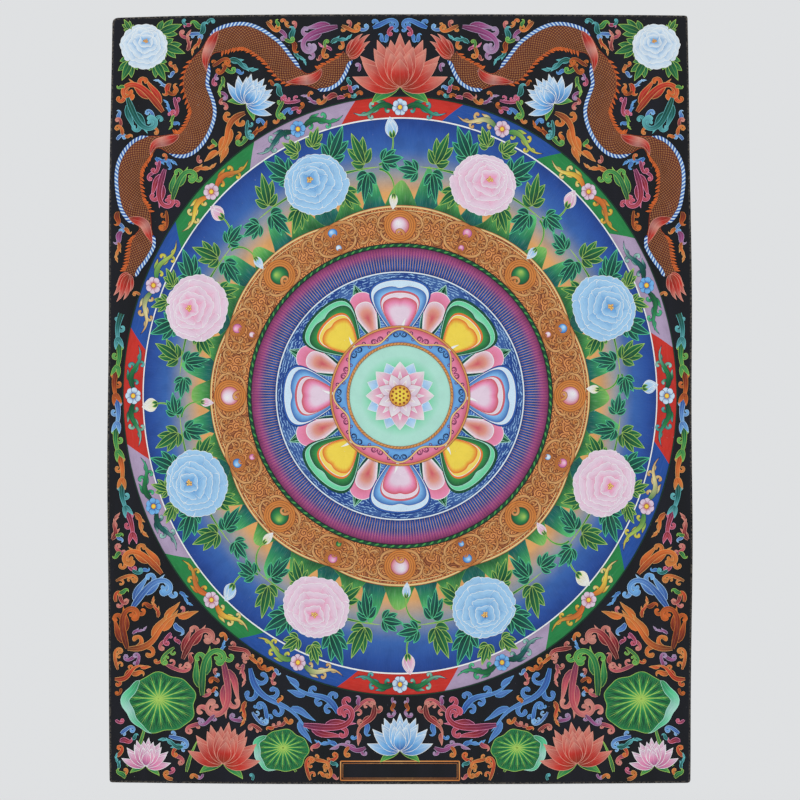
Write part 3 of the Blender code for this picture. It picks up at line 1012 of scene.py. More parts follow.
def ripples(recipe, paint, radius, _):
    """Pale ripple lines over blue: the sine of the brush's radius, bent by two noises, kept where it is
    nearly 1 and broken up along its length; the water is darker towards the rim."""
    bent = radius * RIPPLE_RUN + (recipe.noise(140, 2) - 0.5) * 14 + (recipe.noise(420, 2) - 0.5) * 7
    lines = bent.sine().step(0.30, 0.85) * recipe.noise(260, 2).step(0.40, 0.52)
    water = recipe.mix(paint, "water", recipe.noise(38, 3).step(0.40, 0.66))
    water = recipe.mix(water, "navy", (radius - POOL_INNER).step(POOL_SHADE_FROM, POOL_SHADE_TO) * 0.55)
    return recipe.mix(water, "ripple", lines * 0.85)


pool, pool_edge = Brushwork(), Brushwork()
ring(pool, POOL_INNER, RAY_INNER, UNDER, ("royal", "royal"), rows=16, columns=200)
pool.dry("rippled_pool", gouache("rippled_water", rim_strength=0.0, streaks=0.1, mottling=0.0,
                                 pattern=ripples))
ring(pool_edge, RAY_INNER - POOL_LINE_HALF, RAY_INNER + POOL_LINE_HALF, MIDDLE, ("pale_sky", "white"), rows=2)
pool_edge.dry("pool_edge_line", gouache("white_line", rim_strength=0.0, streaks=0.1))

# ------------------------------------------------------------------ The lotus
# Eight great petals open outwards over the pool, pink in blue and yellow in green by turns. Each has a
# folded lip and a second petal inside it, with salmon petals and dark sepals between them.
LOTUS_PETALS, LOTUS_BASE, LOTUS_TIP, LOTUS_SETBACK = 8, 0.0570, 0.1135, 0.004
PETAL_HALF_WIDTH, SEPAL_LENGTH, SEPAL_HALF_WIDTH = 0.0300, 0.0590, 0.0088
SALMON_HALF_WIDTH, SALMON_LENGTH, SALMON_MIDDLE = 0.0120, 0.0500, 0.030
SALMON_COATS = ((1.0, 0.0, ("rose", "pink")), (0.78, 0.001, ("rose", "salmon", "pale_pink")))
COATS = (                         # width, length, notch and rise, as shares of the petal
    (1.00, 1.000, 0.000, 0.000),
    (0.93, 0.955, 0.000, 0.008),
    (0.88, 0.875, 0.045, 0.012),
    (0.64, 0.745, 0.000, 0.050),
    (0.60, 0.705, 0.000, 0.056),
    (0.56, 0.635, 0.040, 0.062),
)
# petal, lip and body, each as paints from the middle out and the paint of its outline
BLUE_PETAL = (
    (("sky", "royal"), "navy"),
    (("white", "pale_sky", "pale_sky"), "white"),
    (("sky", "sky", "sky", "pale_blue", "sky", "royal"), "white"),
)
PINK_PETAL = (
    (("white", "rose"), "rose"),
    (("white", "white", "pale_pink"), "white"),
    (("pale_pink", "pale_pink", "pale_pink", "pink", "rose"), "rose"),
)
GREEN_PETAL = (
    (("green", "deep_green"), "deep_green"),
    (("mint", "pale_mint", "mint"), "pale_mint"),
    (("grass", "green", "green", "grass", "green", "deep_green"), "pale_mint"),
)
YELLOW_PETAL = (
    (("straw", "orange"), "orange"),
    (("straw", "straw", "yellow"), "white"),
    (("yellow", "yellow", "yellow", "yellow", "orange"), "orange"),
)


def petal_outline(half_width, length, notch, samples=56):
    """The outline of a lotus petal from its base, up one side and down the other: a drop whose top is
    pressed in by a Gaussian notch."""
    way = np.linspace(-1, 1, samples, endpoint=False) + 1 / samples
    up = 1 - way ** 2
    x = half_width * np.sign(way) * up ** 0.80 * np.sqrt(1 - up ** 5) / 0.70
    return x, length * up - notch * length * np.exp(-(x / (0.20 * half_width)) ** 2) * (up > 0.5)


def lotus_petal(work, half_width, length, height, coats):
    """The coats of a petal, from its own to the body of the petal inside it, and a glint at its root."""
    for number, (wide, long, notch, rise) in enumerate(COATS):
        x, z = petal_outline(half_width * wide, length * long, notch)
        fill(work, x, z + length * rise, (0, length * long * 0.58), height + PAINT_LAYER * number * 0.6,
             *coats[number])
    stroke(work, wander((half_width * 0.06, length * 0.13), 88, length * 0.24, -26, samples=10),
           half_width * 0.045, height + PAINT_LAYER * 4.2, ("white", "white"), "white", pointed, 3, 0.0)


lotus = Brushwork()
for number in range(LOTUS_PETALS):
    lotus.onto = round_centre((number + 0.5) * 360 / LOTUS_PETALS, LOTUS_BASE)
    for side in (-1, 1):
        stroke(lotus, wander((0, 0), 90 - side * 8, SEPAL_LENGTH, side * 16, samples=16), SEPAL_HALF_WIDTH,
               MIDDLE, ("deep_green", "teal", "green"), "pale_mint", leafy, 7, 0.5)
    for scale, rise, stops in SALMON_COATS:
        x, z = petal_outline(SALMON_HALF_WIDTH * scale, SALMON_LENGTH * scale, 0.0)
        fill(lotus, x, z + rise, (0, SALMON_MIDDLE * scale), MIDDLE + PAINT_LAYER * (2.2 - scale),
             stops, "white")
for number in range(LOTUS_PETALS):
    lotus.onto = round_centre(number * 360 / LOTUS_PETALS, LOTUS_BASE - LOTUS_SETBACK)
    coats = GREEN_PETAL + YELLOW_PETAL if number % 2 else BLUE_PETAL + PINK_PETAL
    lotus_petal(lotus, PETAL_HALF_WIDTH, LOTUS_TIP - LOTUS_BASE + LOTUS_SETBACK, OVER, coats)
lotus.dry("lotus_petals", gouache("lotus_washes", rim_width=0.0006, streaks=0.25, mottling=0.15))

# ------------------------------------------------------------------ The halo and its rosette
# A mint disc inside a tan rope, in a border where a tan ribbon waves between dark scrolls on rose outside
# and on blue inside, and on the disc a small open flower with a gold seed head.
HALO_OUTER, HALO_INNER, HALO_WAVES, WAVE_DEPTH = 0.0665, 0.0500, 8, 0.0050
HALO_MIDDLE = (HALO_OUTER + HALO_INNER) / 2 + 0.0006
SCROLL_ROW = 0.0062               # how far a row of small scrolls lies from the border's edge
SMALL_SCROLL_HALF, RIBBON_HALF, PIN_HOLE = 0.00045, 0.0010, 0.0004
ROPES, ROPE_TURNS = ((HALO_OUTER, 0.0011), (HALO_INNER, 0.0014)), 96                  # radius, half width
ROPE_STRAND, ROPE_STRAND_HALF = ((-0.0010, -0.0010), 45, 0.0028), 0.0003
ROSETTE_ROOT, ROSETTE_VEIN_ROOT, SEED_HEAD, SEED = 0.003, 0.006, 0.0105, 0.0011
HALO_WASH = ("green", "mint", "mint", "pale_mint", "pale_mint")
SMALL_SCROLLS = ((0.0002, -0.0045, 84, 0.0210, -560), (0.0072, -0.0040, 40, 0.0120, -430))
ROSETTE_ROUNDS = (                # reach, half width, turn in petals, paints, rim
    (0.0340, 0.0100, 0.5, ("royal", "sky", "pale_sky"), "white"),
    (0.0330, 0.0095, 0.0, ("magenta", "pink", "white"), "white"),
    (0.0225, 0.0066, 0.5, ("rose", "pale_pink", "white"), "rose"),
)
ROSETTE_PETALS = 8
SEED_CIRCLES = ((1, 0.0), (6, 0.0040), (12, 0.0078))


def halo_wave(angle):
    """How far the ribbon swings out at an angle."""
    return WAVE_DEPTH * np.cos(angle * HALO_WAVES)


halo, halo_lines = Brushwork(), Brushwork()
ring(halo, PIN_HOLE, HALO_INNER, OVER, HALO_WASH, 10, 120)
ring(halo, HALO_INNER, HALO_OUTER, OVER + PAINT_LAYER * 4, ("rose", "pink", "rose"), 4, 160, rim="plum")
ring(halo, HALO_INNER, HALO_MIDDLE, OVER + PAINT_LAYER * 4.6, ("water", "sky", "royal"), 4, 160,
     lambda angle: (0, halo_wave(angle)), "night")
for number in range(HALO_WAVES * 2):
    outer = number % 2 == 1
    row = HALO_OUTER - SCROLL_ROW if outer else HALO_INNER + SCROLL_ROW
    halo_lines.onto = round_ring(number * 180 / HALO_WAVES, row)
    tint, up = ("plum", 1) if outer else ("night", -1)
    for side in (-1, 1):
        for x, z, heading, length, hook in SMALL_SCROLLS:
            line = wander((side * x, up * z), up * (90 - side * (90 - heading)), length, 0, up * side * hook,
                          samples=26, power=1.5)
            stroke(halo_lines, line, SMALL_SCROLL_HALF, OVER + PAINT_LAYER * 5.4, (tint, tint), tint, knobbed,
                   3, 0.0)
ring(halo_lines, HALO_MIDDLE - RIBBON_HALF, HALO_MIDDLE + RIBBON_HALF, OVER + PAINT_LAYER * 6.2,
     ("gold_ochre", "straw", "tan"), 4, 160, lambda angle: (halo_wave(angle), halo_wave(angle)), "rust")
for radius, width in ROPES:
    ring(halo_lines, radius - width, radius + width, OVER + PAINT_LAYER * 7,
         ("gold_ochre", "tan", "gold_ochre"), 4, 160, rim="brown")
for number in range(ROPE_TURNS):
    halo_lines.onto = round_ring(number * 360 / ROPE_TURNS, HALO_INNER)
    stroke(halo_lines, wander(*ROPE_STRAND, samples=4), ROPE_STRAND_HALF, OVER + PAINT_LAYER * 7.6,
           ("straw", "straw"), "brown", pointed, 3, 0.0)
halo.dry("mint_halo", gouache("halo_washes", rim_width=0.0004, streaks=0.2, mottling=0.12))
halo_lines.dry("halo_border_lines", gouache("halo_lines", rim_width=0.0003))

rosette = Brushwork()
for round_number, (reach, half, first, stops, rim) in enumerate(ROSETTE_ROUNDS):
    for petal in range(ROSETTE_PETALS):
        rosette.onto = round_centre((petal + first) * 360 / ROSETTE_PETALS)
        layer = OVER + PAINT_LAYER * (1 + round_number * 1.2)
        stroke(rosette, (np.zeros(14), np.linspace(ROSETTE_ROOT, reach, 14)), half, layer, stops, rim,
               leafy, 5, 0.12)
        stroke(rosette, (np.zeros(10), np.linspace(ROSETTE_VEIN_ROOT, reach * 0.72, 10)), half * 0.30,
               layer + PAINT_LAYER * 0.5, (stops[0], stops[-1]), stops[-1], pointed, 3, 0)
rosette.onto = round_centre()
disc(rosette, 0, 0, SEED_HEAD, OVER + PAINT_LAYER * 5, ("yellow", "yellow", "gold_ochre"), "brown", 40, 6)
for count, radius in SEED_CIRCLES:
    for angle in circle(count):
        disc(rosette, radius * math.sin(angle), radius * math.cos(angle), SEED, OVER + PAINT_LAYER * 5.8,
             ("rust", "orange"), "brown", 10, 3)
rosette.dry("centre_rosette", gouache("rosette_washes", streaks=0.3))

# ------------------------------------------------------------------ The brocade scarves
# A long scarf waves through each top corner: crimson and gold brocade, a flame-red fringe along one edge
# and a blue cord along the other, twisted here and there to its red lining. It is painted over outlines.
SCARF_HALF, SCARF_STEPS = 0.0118, 220
SCARF_TWISTS = (0.11, 0.37, 0.63, 0.86)                  # where it twists, as shares of its length
TWIST_REACH, TWIST_SPAN, CORD_GAP = 0.026, 0.042, 4      # shares, shares, steps
SCARF_PATH = (
    (0.050, -0.040), (0.074, -0.062), (0.104, -0.058), (0.126, -0.034), (0.152, -0.021),
    (0.182, -0.032), (0.197, -0.064), (0.190, -0.096), (0.206, -0.124), (0.238, -0.124),
    (0.259, -0.146), (0.258, -0.180), (0.245, -0.204), (0.251, -0.230), (0.260, -0.250),
)
SCARF_PAINTS, LINING_PAINTS = ("maroon", "dark_rust", "maroon"), ("rust", "red", "salmon", "red", "rust")
SCARF_CORD_HALF, STRAND_HALF, FRINGE_HALF, FRINGE_ROOT = 0.0019, 0.0034, 0.0011, 0.0012
FRINGE_LONG, FRINGE_SHORT, FRINGE_LEAN = 0.0062, 0.0050, 1.3
TASSEL_STRANDS = ((42, 0.018), (-42, 0.018), (21, 0.026), (-21, 0.026), (0, 0.030))      # turn, reach
LATTICE_PITCH, DASH_EDGE, DASH_END = 0.0030, (0.16, 0.26), (0.36, 0.46)


def through(points, samples):
    """An even curve through the points: cubic pieces whose slope at a point is set by its neighbours."""
    points = np.array([points[0], *points, points[-1]], dtype=float)
    share = np.linspace(0, len(points) - 3 - 1e-6, samples)
    piece, t = share.astype(int), (share % 1)[:, None]
    a, b, c, d = (points[piece + k] for k in range(4))
    curve = 0.5 * (2 * b + (c - a) * t + (2 * a - 5 * b + 4 * c - d) * t ** 2
                   + (3 * b - a - 3 * c + d) * t ** 3)
    return curve[:, 0], curve[:, 1]


def gold_lattice(recipe, paint, along, aside):
    """Gold dashes woven over crimson: two sets of slanting lines, one over and one under in the squares
    of a slanting chequer, each broken short of the next."""
    first, second = (along + aside) / LATTICE_PITCH, (along - aside) / LATTICE_PITCH
    over = ((first.floor() + second.floor()) * 0.5).rest().step(0.20, 0.30)
    across, length = (abs(part.rest() - 0.5) for part in (first, second))
    one = across.step(*DASH_EDGE, 1.0, 0.0) * length.step(*DASH_END, 1.0, 0.0) * over
    other = length.step(*DASH_EDGE, 1.0, 0.0) * across.step(*DASH_END, 1.0, 0.0) * (1 - over)
    return recipe.mix(paint, "gold_thread", one.most(other) * 0.80)


def twisted(recipe, paint, along, aside):
    """Slanting pale stripes along a cord."""
    stripes = (along * 1700 + aside * 1300).sine()
    return recipe.mix(paint, "pale_sky", stripes.step(-0.1, 0.5))


def cord_ends(share, slim=0):
    """A cord: even, and drawn in at both ends."""
    return np.clip(np.sin(np.pi * share) * 6, 0.2, 1)


brocade, lining, cords = Brushwork(), Brushwork(), Brushwork()
run_x, run_z = through(SCARF_PATH, SCARF_STEPS + 1)
share = np.linspace(0, 1, SCARF_STEPS + 1)
slope_x, slope_z = np.gradient(run_x), np.gradient(run_z)
step = np.hypot(slope_x, slope_z)
out_x, out_z = slope_z / step, -slope_x / step          # unit steps across the scarf
pinched = 1 - 0.50 * sum(np.exp(-((share - twist) / TWIST_REACH) ** 2) for twist in SCARF_TWISTS)
drawn_in = np.clip(share / 0.05, 0.35, 1) ** 0.6 * np.clip((1 - share) / 0.10, 0.35, 1) ** 0.6
width = SCARF_HALF * pinched * drawn_in
stroke(brocade, (run_x, run_z), 1.0, OVER, SCARF_PAINTS, "rust", lambda *_: width, 9, 0.30)
sides = np.sign(np.prod([share - twist for twist in SCARF_TWISTS], axis=0))
for twist in SCARF_TWISTS:
    part = slice(int((twist - TWIST_SPAN) * SCARF_STEPS), int((twist + TWIST_SPAN) * SCARF_STEPS))
    swing = np.linspace(-0.85, 0.85, part.stop - part.start) * width[part]
    stroke(lining, (run_x[part] + out_x[part] * swing, run_z[part] + out_z[part] * swing), SCARF_HALF * 0.40,
           OVER + PAINT_LAYER * 2.6, LINING_PAINTS, "salmon", leafy, 5, 0.5)
for start, end in zip((0, *SCARF_TWISTS), (*SCARF_TWISTS, 1)):
    part = slice(int(start * SCARF_STEPS) + (CORD_GAP if start else 0),
                 int(end * SCARF_STEPS) - CORD_GAP if end < 1 else SCARF_STEPS + 1)
    side = sides[(part.start + part.stop) // 2]
    edge_x, edge_z = run_x + side * out_x * width, run_z + side * out_z * width
    stroke(cords, (edge_x[part], edge_z[part]), SCARF_CORD_HALF, OVER + PAINT_LAYER,
           ("royal", "water", "royal"), "night", cord_ends, 3, 0.0)
    edge_x, edge_z = run_x - side * out_x * width, run_z - side * out_z * width
    for at in range(part.start + 2, part.stop - 2, 2):
        lean = math.degrees(math.atan2(-side * out_z[at] + slope_z[at] / step[at] * FRINGE_LEAN,
                                       -side * out_x[at] + slope_x[at] / step[at] * FRINGE_LEAN))
        root = (edge_x[at] + side * out_x[at] * FRINGE_ROOT, edge_z[at] + side * out_z[at] * FRINGE_ROOT)
        lock = wander(root, lean, FRINGE_LONG if at % 4 else FRINGE_SHORT, side * 20, samples=6)
        stroke(lining, lock, FRINGE_HALF, OVER + PAINT_LAYER * (0.8 + 0.5 * (at % 4 > 1)),
               ("rust", "orange"), "orange", pointed)
for end, back in ((0, 180), (SCARF_STEPS, 0)):
    facing = math.degrees(math.atan2(slope_z[end], slope_x[end])) + back
    for number, (turn, reach) in enumerate(TASSEL_STRANDS):
        strand = wander((run_x[end], run_z[end]), facing + turn, reach, -turn * 0.9, 0, 14, samples=16)
        stroke(lining, strand, STRAND_HALF, OVER + PAINT_LAYER * (1.4 + 0.4 * number),
               ("rust", "red", "salmon"), "salmon", pointed, 3, 0.4)
brocade.dry("brocade_scarves", gouache("crimson_brocade", rim_width=0.0006, streaks=0.3,
                                       pattern=gold_lattice), mirrored=True)
lining.dry("scarf_linings_and_fringe", gouache("flame_red_lining", rim_width=0.0004, streaks=0.6, vein=0.3),
           mirrored=True)
cords.dry("scarf_cords", gouache("blue_cord", rim_width=0.0003, pattern=twisted), mirrored=True)

# ------------------------------------------------------------------ Blossoms and lotus leaves
# Red and pink lotus blossoms with round green leaves fill the bottom corners, a peony and a blue lotus
# stand in each top corner, and a red and a blue lotus over and under the border. Petals are washed from
# a deep root to a pale tip.
RED_LOTUS, PINK_LOTUS = ("rust", "red", "salmon"), ("magenta", "pink", "pale_pink")
BLUE_LOTUS = ("royal", "sky", "pale_sky")
LEAF_STEPS, RIB_EVERY = 72, 4
LIP_FROM, LIP_TO = 8, 34
LEAF_WASH = ("lime", "grass", "green", "green", "deep_green", "green")
LIP_WASH = ("green", "mint", "pale_mint", "mint", "green")
BLOSSOM_ROUNDS = (                # half the fan's spread, petals, reach and half width as shares of the size
    (82, 7, 1.00, 0.150),
    (60, 6, 0.90, 0.160),
    (38, 5, 0.80, 0.160),
    (16, 3, 0.66, 0.160),
    (0, 1, 0.52, 0.170),
)
CORNER_STEM_HALF = 0.0021
# the round leaves: x, z, radius, turn, height as a share of the width
CORNER_PADS = ((0.2290, -0.6620, 0.0330, 0.4, 0.86), (0.1130, -0.7080, 0.0250, 1.9, 0.80))
CORNER_PEONY = ((0.2460, -0.0310), 0.0225)      # place, size
CORNER_STEMS = (                  # start, heading, length, bend
    ((0.262, -0.722), 128, 0.070, -46),
    ((0.100, -0.728), 60, 0.034, 60),
    ((0.205, -0.728), 100, 0.034, 20),
)
CORNER_BLOSSOMS = (               # place, size, turn, paints, rim
    ((0.1700, -0.7200), 0.0400, 8, RED_LOTUS, "salmon"),
    ((0.2440, -0.7220), 0.0270, 6, PINK_LOTUS, "white"),
    ((0.1480, -0.0860), 0.0300, 36, BLUE_LOTUS, "white"),
)
MIDDLE_BLOSSOMS = (
    ((0.0, -0.0700), 0.0520, 0, RED_LOTUS, "salmon"),
    ((0.0, -0.7080), 0.0360, 0, BLUE_LOTUS, "white"),
)
CORNER_LEAVES = (                 # place, heading, length
    ((0.258, -0.043), -66, 0.0230),
    ((0.236, -0.044), -118, 0.0230),
    ((0.259, -0.016), 60, 0.0130),
    ((0.232, -0.018), 160, 0.0240),
    ((0.228, -0.030), -160, 0.0230),
)


def blossom(work, place, size, turn, stops, rim):
    """A lotus seen from its side: fans of pointed petals from the back to the front, over sepals."""
    for side in (-1, 1):
        for tilt in (100, 66):
            sepal = wander(place, 90 + turn + side * tilt, size * 0.62, side * 40, samples=12)
            stroke(work, sepal, size * 0.11, OVER - PAINT_LAYER * 0.6, ("deep_green", "green", "grass"),
                   "lime", leafy, 3, 0.4)
    for number, (spread, count, reach, half_width) in enumerate(BLOSSOM_ROUNDS):
        for petal in sorted(range(count), key=lambda petal: -abs(petal - (count - 1) / 2)):
            tilt = spread * (petal / (count - 1) * 2 - 1) if count > 1 else 0
            length = size * reach * (1 - 0.10 * abs(tilt) / 90)
            layer = OVER + PAINT_LAYER * (number * 1.2 + 0.5 * (petal % 2))
            line = wander(place, 90 + turn + tilt * 1.12, length, -tilt * 0.34, samples=13)
            stroke(work, line, size * half_width, layer, stops, rim, leafy, 5, 0.25)


def lotus_leaf(work, x, z, radius, turn, squash):
    """A round lotus leaf: a waved disc with dark wedges and pale ribs that fork, and a turned-up lip."""
    angle = circle(LEAF_STEPS)
    far = radius * (1 + 0.045 * np.sin(5 * angle + turn) + 0.03 * np.sin(9 * angle + 2 * turn))
    edge_x, edge_z = x + far * np.sin(angle), z + far * np.cos(angle) * squash
    middle = (x + radius * 0.10 * math.cos(turn), z + radius * 0.12)
    fill(work, edge_x, edge_z, middle, MIDDLE, LEAF_WASH, "lime", rows=9)

    def out(at, share):
        """The place at a share of the way from the middle to the edge."""
        at %= LEAF_STEPS
        return middle[0] + (edge_x[at] - middle[0]) * share, middle[1] + (edge_z[at] - middle[1]) * share

    def vein(start, end, width, layer, stops, rim, shape=running_out):
        line = [np.linspace(a, b, 7) for a, b in zip(start, end)]
        stroke(work, line, radius * width, MIDDLE + PAINT_LAYER * layer, stops, rim, shape, 3, 0.0)

    for rib in range(0, LEAF_STEPS, RIB_EVERY):
        wedge = rib + RIB_EVERY // 2
        vein(out(wedge, 0.30), out(wedge, 0.95), 0.060, 0.4, ("green", "deep_green", "deep_green"), "green",
             pointed)
        vein(middle, out(rib, 0.93), 0.018, 1.0, ("lime", "grass"), "lime")
        for side in (-1, 1):
            for start, end in ((0.42, 0.74), (0.62, 0.90)):
                vein(out(rib, start), out(rib + side, end), 0.009, 0.9, ("grass", "grass"), "grass")
    stroke(work, (edge_x[LIP_FROM:LIP_TO], edge_z[LIP_FROM:LIP_TO]), radius * 0.13,
           MIDDLE + PAINT_LAYER * 1.3, LIP_WASH, "pale_mint", pointed, 5, 0.3)


side_plants, middle_plants = Brushwork(), Brushwork()
for start, heading, length, bend in CORNER_STEMS:
    stroke(side_plants, wander(start, heading, length, bend, samples=18), CORNER_STEM_HALF, UNDER,
           ("deep_green", "green", "grass"), "lime", shade=0.4)
for pad in CORNER_PADS:
    lotus_leaf(side_plants, *pad)
for flower in CORNER_BLOSSOMS:
    blossom(side_plants, *flower)
for place, heading, length in CORNER_LEAVES:
    lobed_leaf(side_plants, place, heading, length, MIDDLE, GREEN_LEAF)
peony(side_plants, *CORNER_PEONY, "corner_blue", "corner_pale", OVER)
for flower in MIDDLE_BLOSSOMS:
    blossom(middle_plants, *flower)
side_plants.dry("corner_lotuses", gouache("corner_lotus_washes", vein=0.25, streaks=0.5), mirrored=True)
middle_plants.dry("middle_lotuses", gouache("middle_lotus_washes", vein=0.25, streaks=0.5))

# ------------------------------------------------------------------ The bottom cartouche
# Two gold lines frame a narrow field at the middle of the bottom edge. The field is left bare.
CARTOUCHE_HALF, CARTOUCHE_TOP, CARTOUCHE_FOOT = 0.0570, -0.7180, -0.7362
CARTOUCHE_LINES = ((0.0, 0.0007), (0.0021, 0.0003))      # inset, half width
cartouche = Brushwork()
for inset, wide in CARTOUCHE_LINES:
    left, top, foot = CARTOUCHE_HALF - inset, CARTOUCHE_TOP - inset, CARTOUCHE_FOOT + inset
    for side in (-1, 1):
        stroke(cartouche, (np.full(6, side * left), np.linspace(top, foot, 6)), wide, MIDDLE,
               ("tan", "gold_ochre"), "brown", even, 3, 0.0)
    for level in (top, foot):
        stroke(cartouche, (np.linspace(-left, left, 30), np.full(30, level)), wide, MIDDLE,
               ("gold_ochre", "tan", "gold_ochre"), "brown", even, 3, 0.0)
cartouche.dry("cartouche_lines", gouache("gold_lines", rim_width=0.0002, roughness=0.55))

# ------------------------------------------------------------------ The scrolls on the black ground
# Flames, fronds and tendrils grow from one another over all of the black ground that is left. Each is
# set down only where it clears its neighbours, large ones first, and the left half mirrors the right.
CELL, EDGE_CLEAR, BORDER_CLEAR, CARTOUCHE_CLEAR = 0.001, 0.0034, 0.0020, 0.0020
CELLS_ACROSS, CELLS_DOWN = 282, 741           # the cells of the right half
FINEST_SCROLL, WIDEST_SCROLL, ROOT_REACH = 0.0004, 0.0036, 0.0040
MIDLINE_CLEAR, TRIAL_CLEAR = 0.0012, 0.0020
LONG_SCROLL, SHORT_SCROLL = 0.045, 0.020      # sizes over which a scroll has more points
TOP_ENDS, MIDDLE_ENDS = -0.26, -0.52          # where the three groups of scrolls part
LOBES_BY_LETTER = {"c": ("curl", 0.32), "l": ("lick", 0.48)}      # with their reach

# Of each kind: half width as a share of the size, bend, curl at the end, sway, its lobes from root to
# tip (c a curl, l a lick; capitals stand on the other side) and its ending
KINDS = {
    "frond": (0.050, 60, 270, 8, "lLcCc", knobbed),
    "flame": (0.054, 24, -50, 34, "cClLlL", running_out),
    "cloud": (0.054, 14, -50, 30, "cCcClL", running_out),
    "sprig": (0.064, 50, 290, 14, "cCc", knobbed),
    "flare": (0.070, 30, -40, 38, "ClcL", running_out),
    "tendril": (0.040, 90, 480, 14, "Cc", knobbed),
    "tongues": (0.086, 36, -30, 40, "lLl", running_out),
    "hook": (0.082, 50, 300, 12, "C", knobbed),
    "curl": (0.100, 60, 320, 0, "", knobbed),
    "lick": (0.130, 30, 60, 44, "", pointed),
}
FAMILIES = (                      # a scroll's paints from its root, and its rim
    (("royal", "water", "water"), "sky"),
    (("maroon", "crimson", "salmon"), "salmon"),
    (("rust", "orange", "gold_ochre"), "tan"),
    (("deep_green", "green", "grass"), "lime"),
    (("royal", "water", "sky"), "pale_blue"),
    (("plum", "crimson", "rose"), "pink"),
    (("rust", "red", "orange"), "tan"),
    (("deep_green", "teal", "aqua"), "aqua"),
    (("plum", "rose", "salmon"), "salmon"),
    (("plum", "magenta", "lilac"), "lilac"),
    (("brown", "orange", "gold_ochre"), "tan"),
    (("maroon", "rust", "orange"), "gold_ochre"),
)
ROUNDS = (                        # size, tries, kinds
    (0.080, 3000, ("frond", "cloud", "flame")),
    (0.068, 4000, ("frond", "cloud", "flame")),
    (0.056, 5000, ("frond", "cloud", "flame")),
    (0.046, 7000, ("frond", "flare", "flame", "tendril")),
    (0.037, 9000, ("sprig", "flare", "tendril")),
    (0.029, 9000, ("sprig", "flare", "tongues")),
    (0.022, 9000, ("tongues", "hook", "tongues")),
    (0.016, 8000, ("lick", "curl", "tongues")),
    (0.011, 5000, ("lick", "curl")),
)
FIRST_ROOTS = (                   # across, upwards, facing
    (0.060, -0.012, 0), (0.262, -0.300, 90), (0.255, -0.480, -80), (0.205, -0.575, -30), (0.150, -0.625, 200),
    (0.060, -0.672, 0), (0.190, -0.655, 120), (0.262, -0.610, 90), (0.250, -0.270, 100), (0.220, -0.012, 180),
)

cell_x, cell_z = np.meshgrid(np.arange(CELLS_ACROSS) * CELL, -np.arange(CELLS_DOWN) * CELL, indexing="ij")
half_width = outline(np.ones_like(cell_x), np.clip(-cell_z / DROP, 0, 1))[0]
border_half, border_rise = BAND_OUTER + BORDER_CLEAR, BAND_OUTER * (1 + UPRIGHT) + BORDER_CLEAR
taken = (cell_x / border_half) ** 2 + ((cell_z + CENTRE_DOWN) / border_rise) ** 2 < 1
taken |= (cell_x > half_width - EDGE_CLEAR) | (cell_z > -EDGE_CLEAR) | (cell_z < EDGE_CLEAR - DROP)
taken |= (cell_x < CARTOUCHE_HALF + CARTOUCHE_CLEAR) & (cell_z < CARTOUCHE_TOP + CARTOUCHE_CLEAR)


def cells(x, z):
    """The cells of the right half that these places fall in."""
    return within(np.rint(x / CELL).astype(int), np.rint(-z / CELL).astype(int))


def within(column, row):
    """Cell numbers kept inside the right half."""
    return np.clip(column, 0, CELLS_ACROSS - 1), np.clip(row, 0, CELLS_DOWN - 1)


def claim(work):
    """Marks the cells under every grid of the work, each quad sampled 4 x 4, and their neighbours."""
    for grid in work.grids:
        for a in np.arange(4) / 4:
            for b in np.arange(4) / 4:
                downward = [grid[key][:-1] * (1 - a) + grid[key][1:] * a for key in "xz"]
                place = [(part[:, :-1] * (1 - b) + part[:, 1:] * b).ravel() for part in downward]
                column, row = cells(*place)
                for shift in (-1, 0, 1):
                    taken[within(column + shift, row)] = True
                    taken[within(column, row + shift)] = True


def lobes_along(letters):
    """Lobes set evenly from root to tip, smaller and smaller, for a word of letters."""
    lobes = []
    for number, letter in enumerate(letters):
        kind, reach = LOBES_BY_LETTER[letter.lower()]
        share = 0.05 + 0.76 * number / max(len(letters) - 1, 1)
        lobes.append((share, 1 if letter.islower() else -1, reach * (1 - 0.45 * number / len(letters)), kind))
    return lobes


def grow(kind, root, heading, size, family, side, height):
    """One scroll of a kind in its own Brushwork, or None where it wouldn't clear the others."""
    wide, bend, hook, sway, letters, ending = KINDS[kind]
    turns = (side * bend, side * hook, side * sway)
    trial = wander(root, heading, size, *turns, samples=12)
    if taken[cells(trial[0][3:], trial[1][3:])].any() or trial[0].min() < TRIAL_CLEAR:
        return None
    work = Brushwork()
    samples = 34 if size > LONG_SCROLL else 24 if size > SHORT_SCROLL else 14
    spray(work, root, heading, size, min(FINEST_SCROLL + wide * size, WIDEST_SCROLL), height,
          *FAMILIES[family], turns, lobes_along(letters), ending, -side, samples)
    x, z = (np.concatenate([grid[key].ravel() for grid in work.grids]) for key in "xz")
    near_root = np.hypot(x - root[0], z - root[1]) < max(ROOT_REACH, 0.08 * size)
    if (taken[cells(x, z)] & ~near_root).any() or (x < MIDLINE_CLEAR).any():
        return None
    return work


for work in (brocade, lining, cords, side_plants, middle_plants):
    claim(work)

# The chain: stems one after another between the border and each side edge, with two curls and a cup each
CHAIN_TOP, CHAIN_FOOT, CHAIN_SWING, CHAIN_STEPS = -0.2880, -0.5040, 0.0019, 16
CHAIN_HALF, CHAIN_INSET = 0.0029, 0.0012
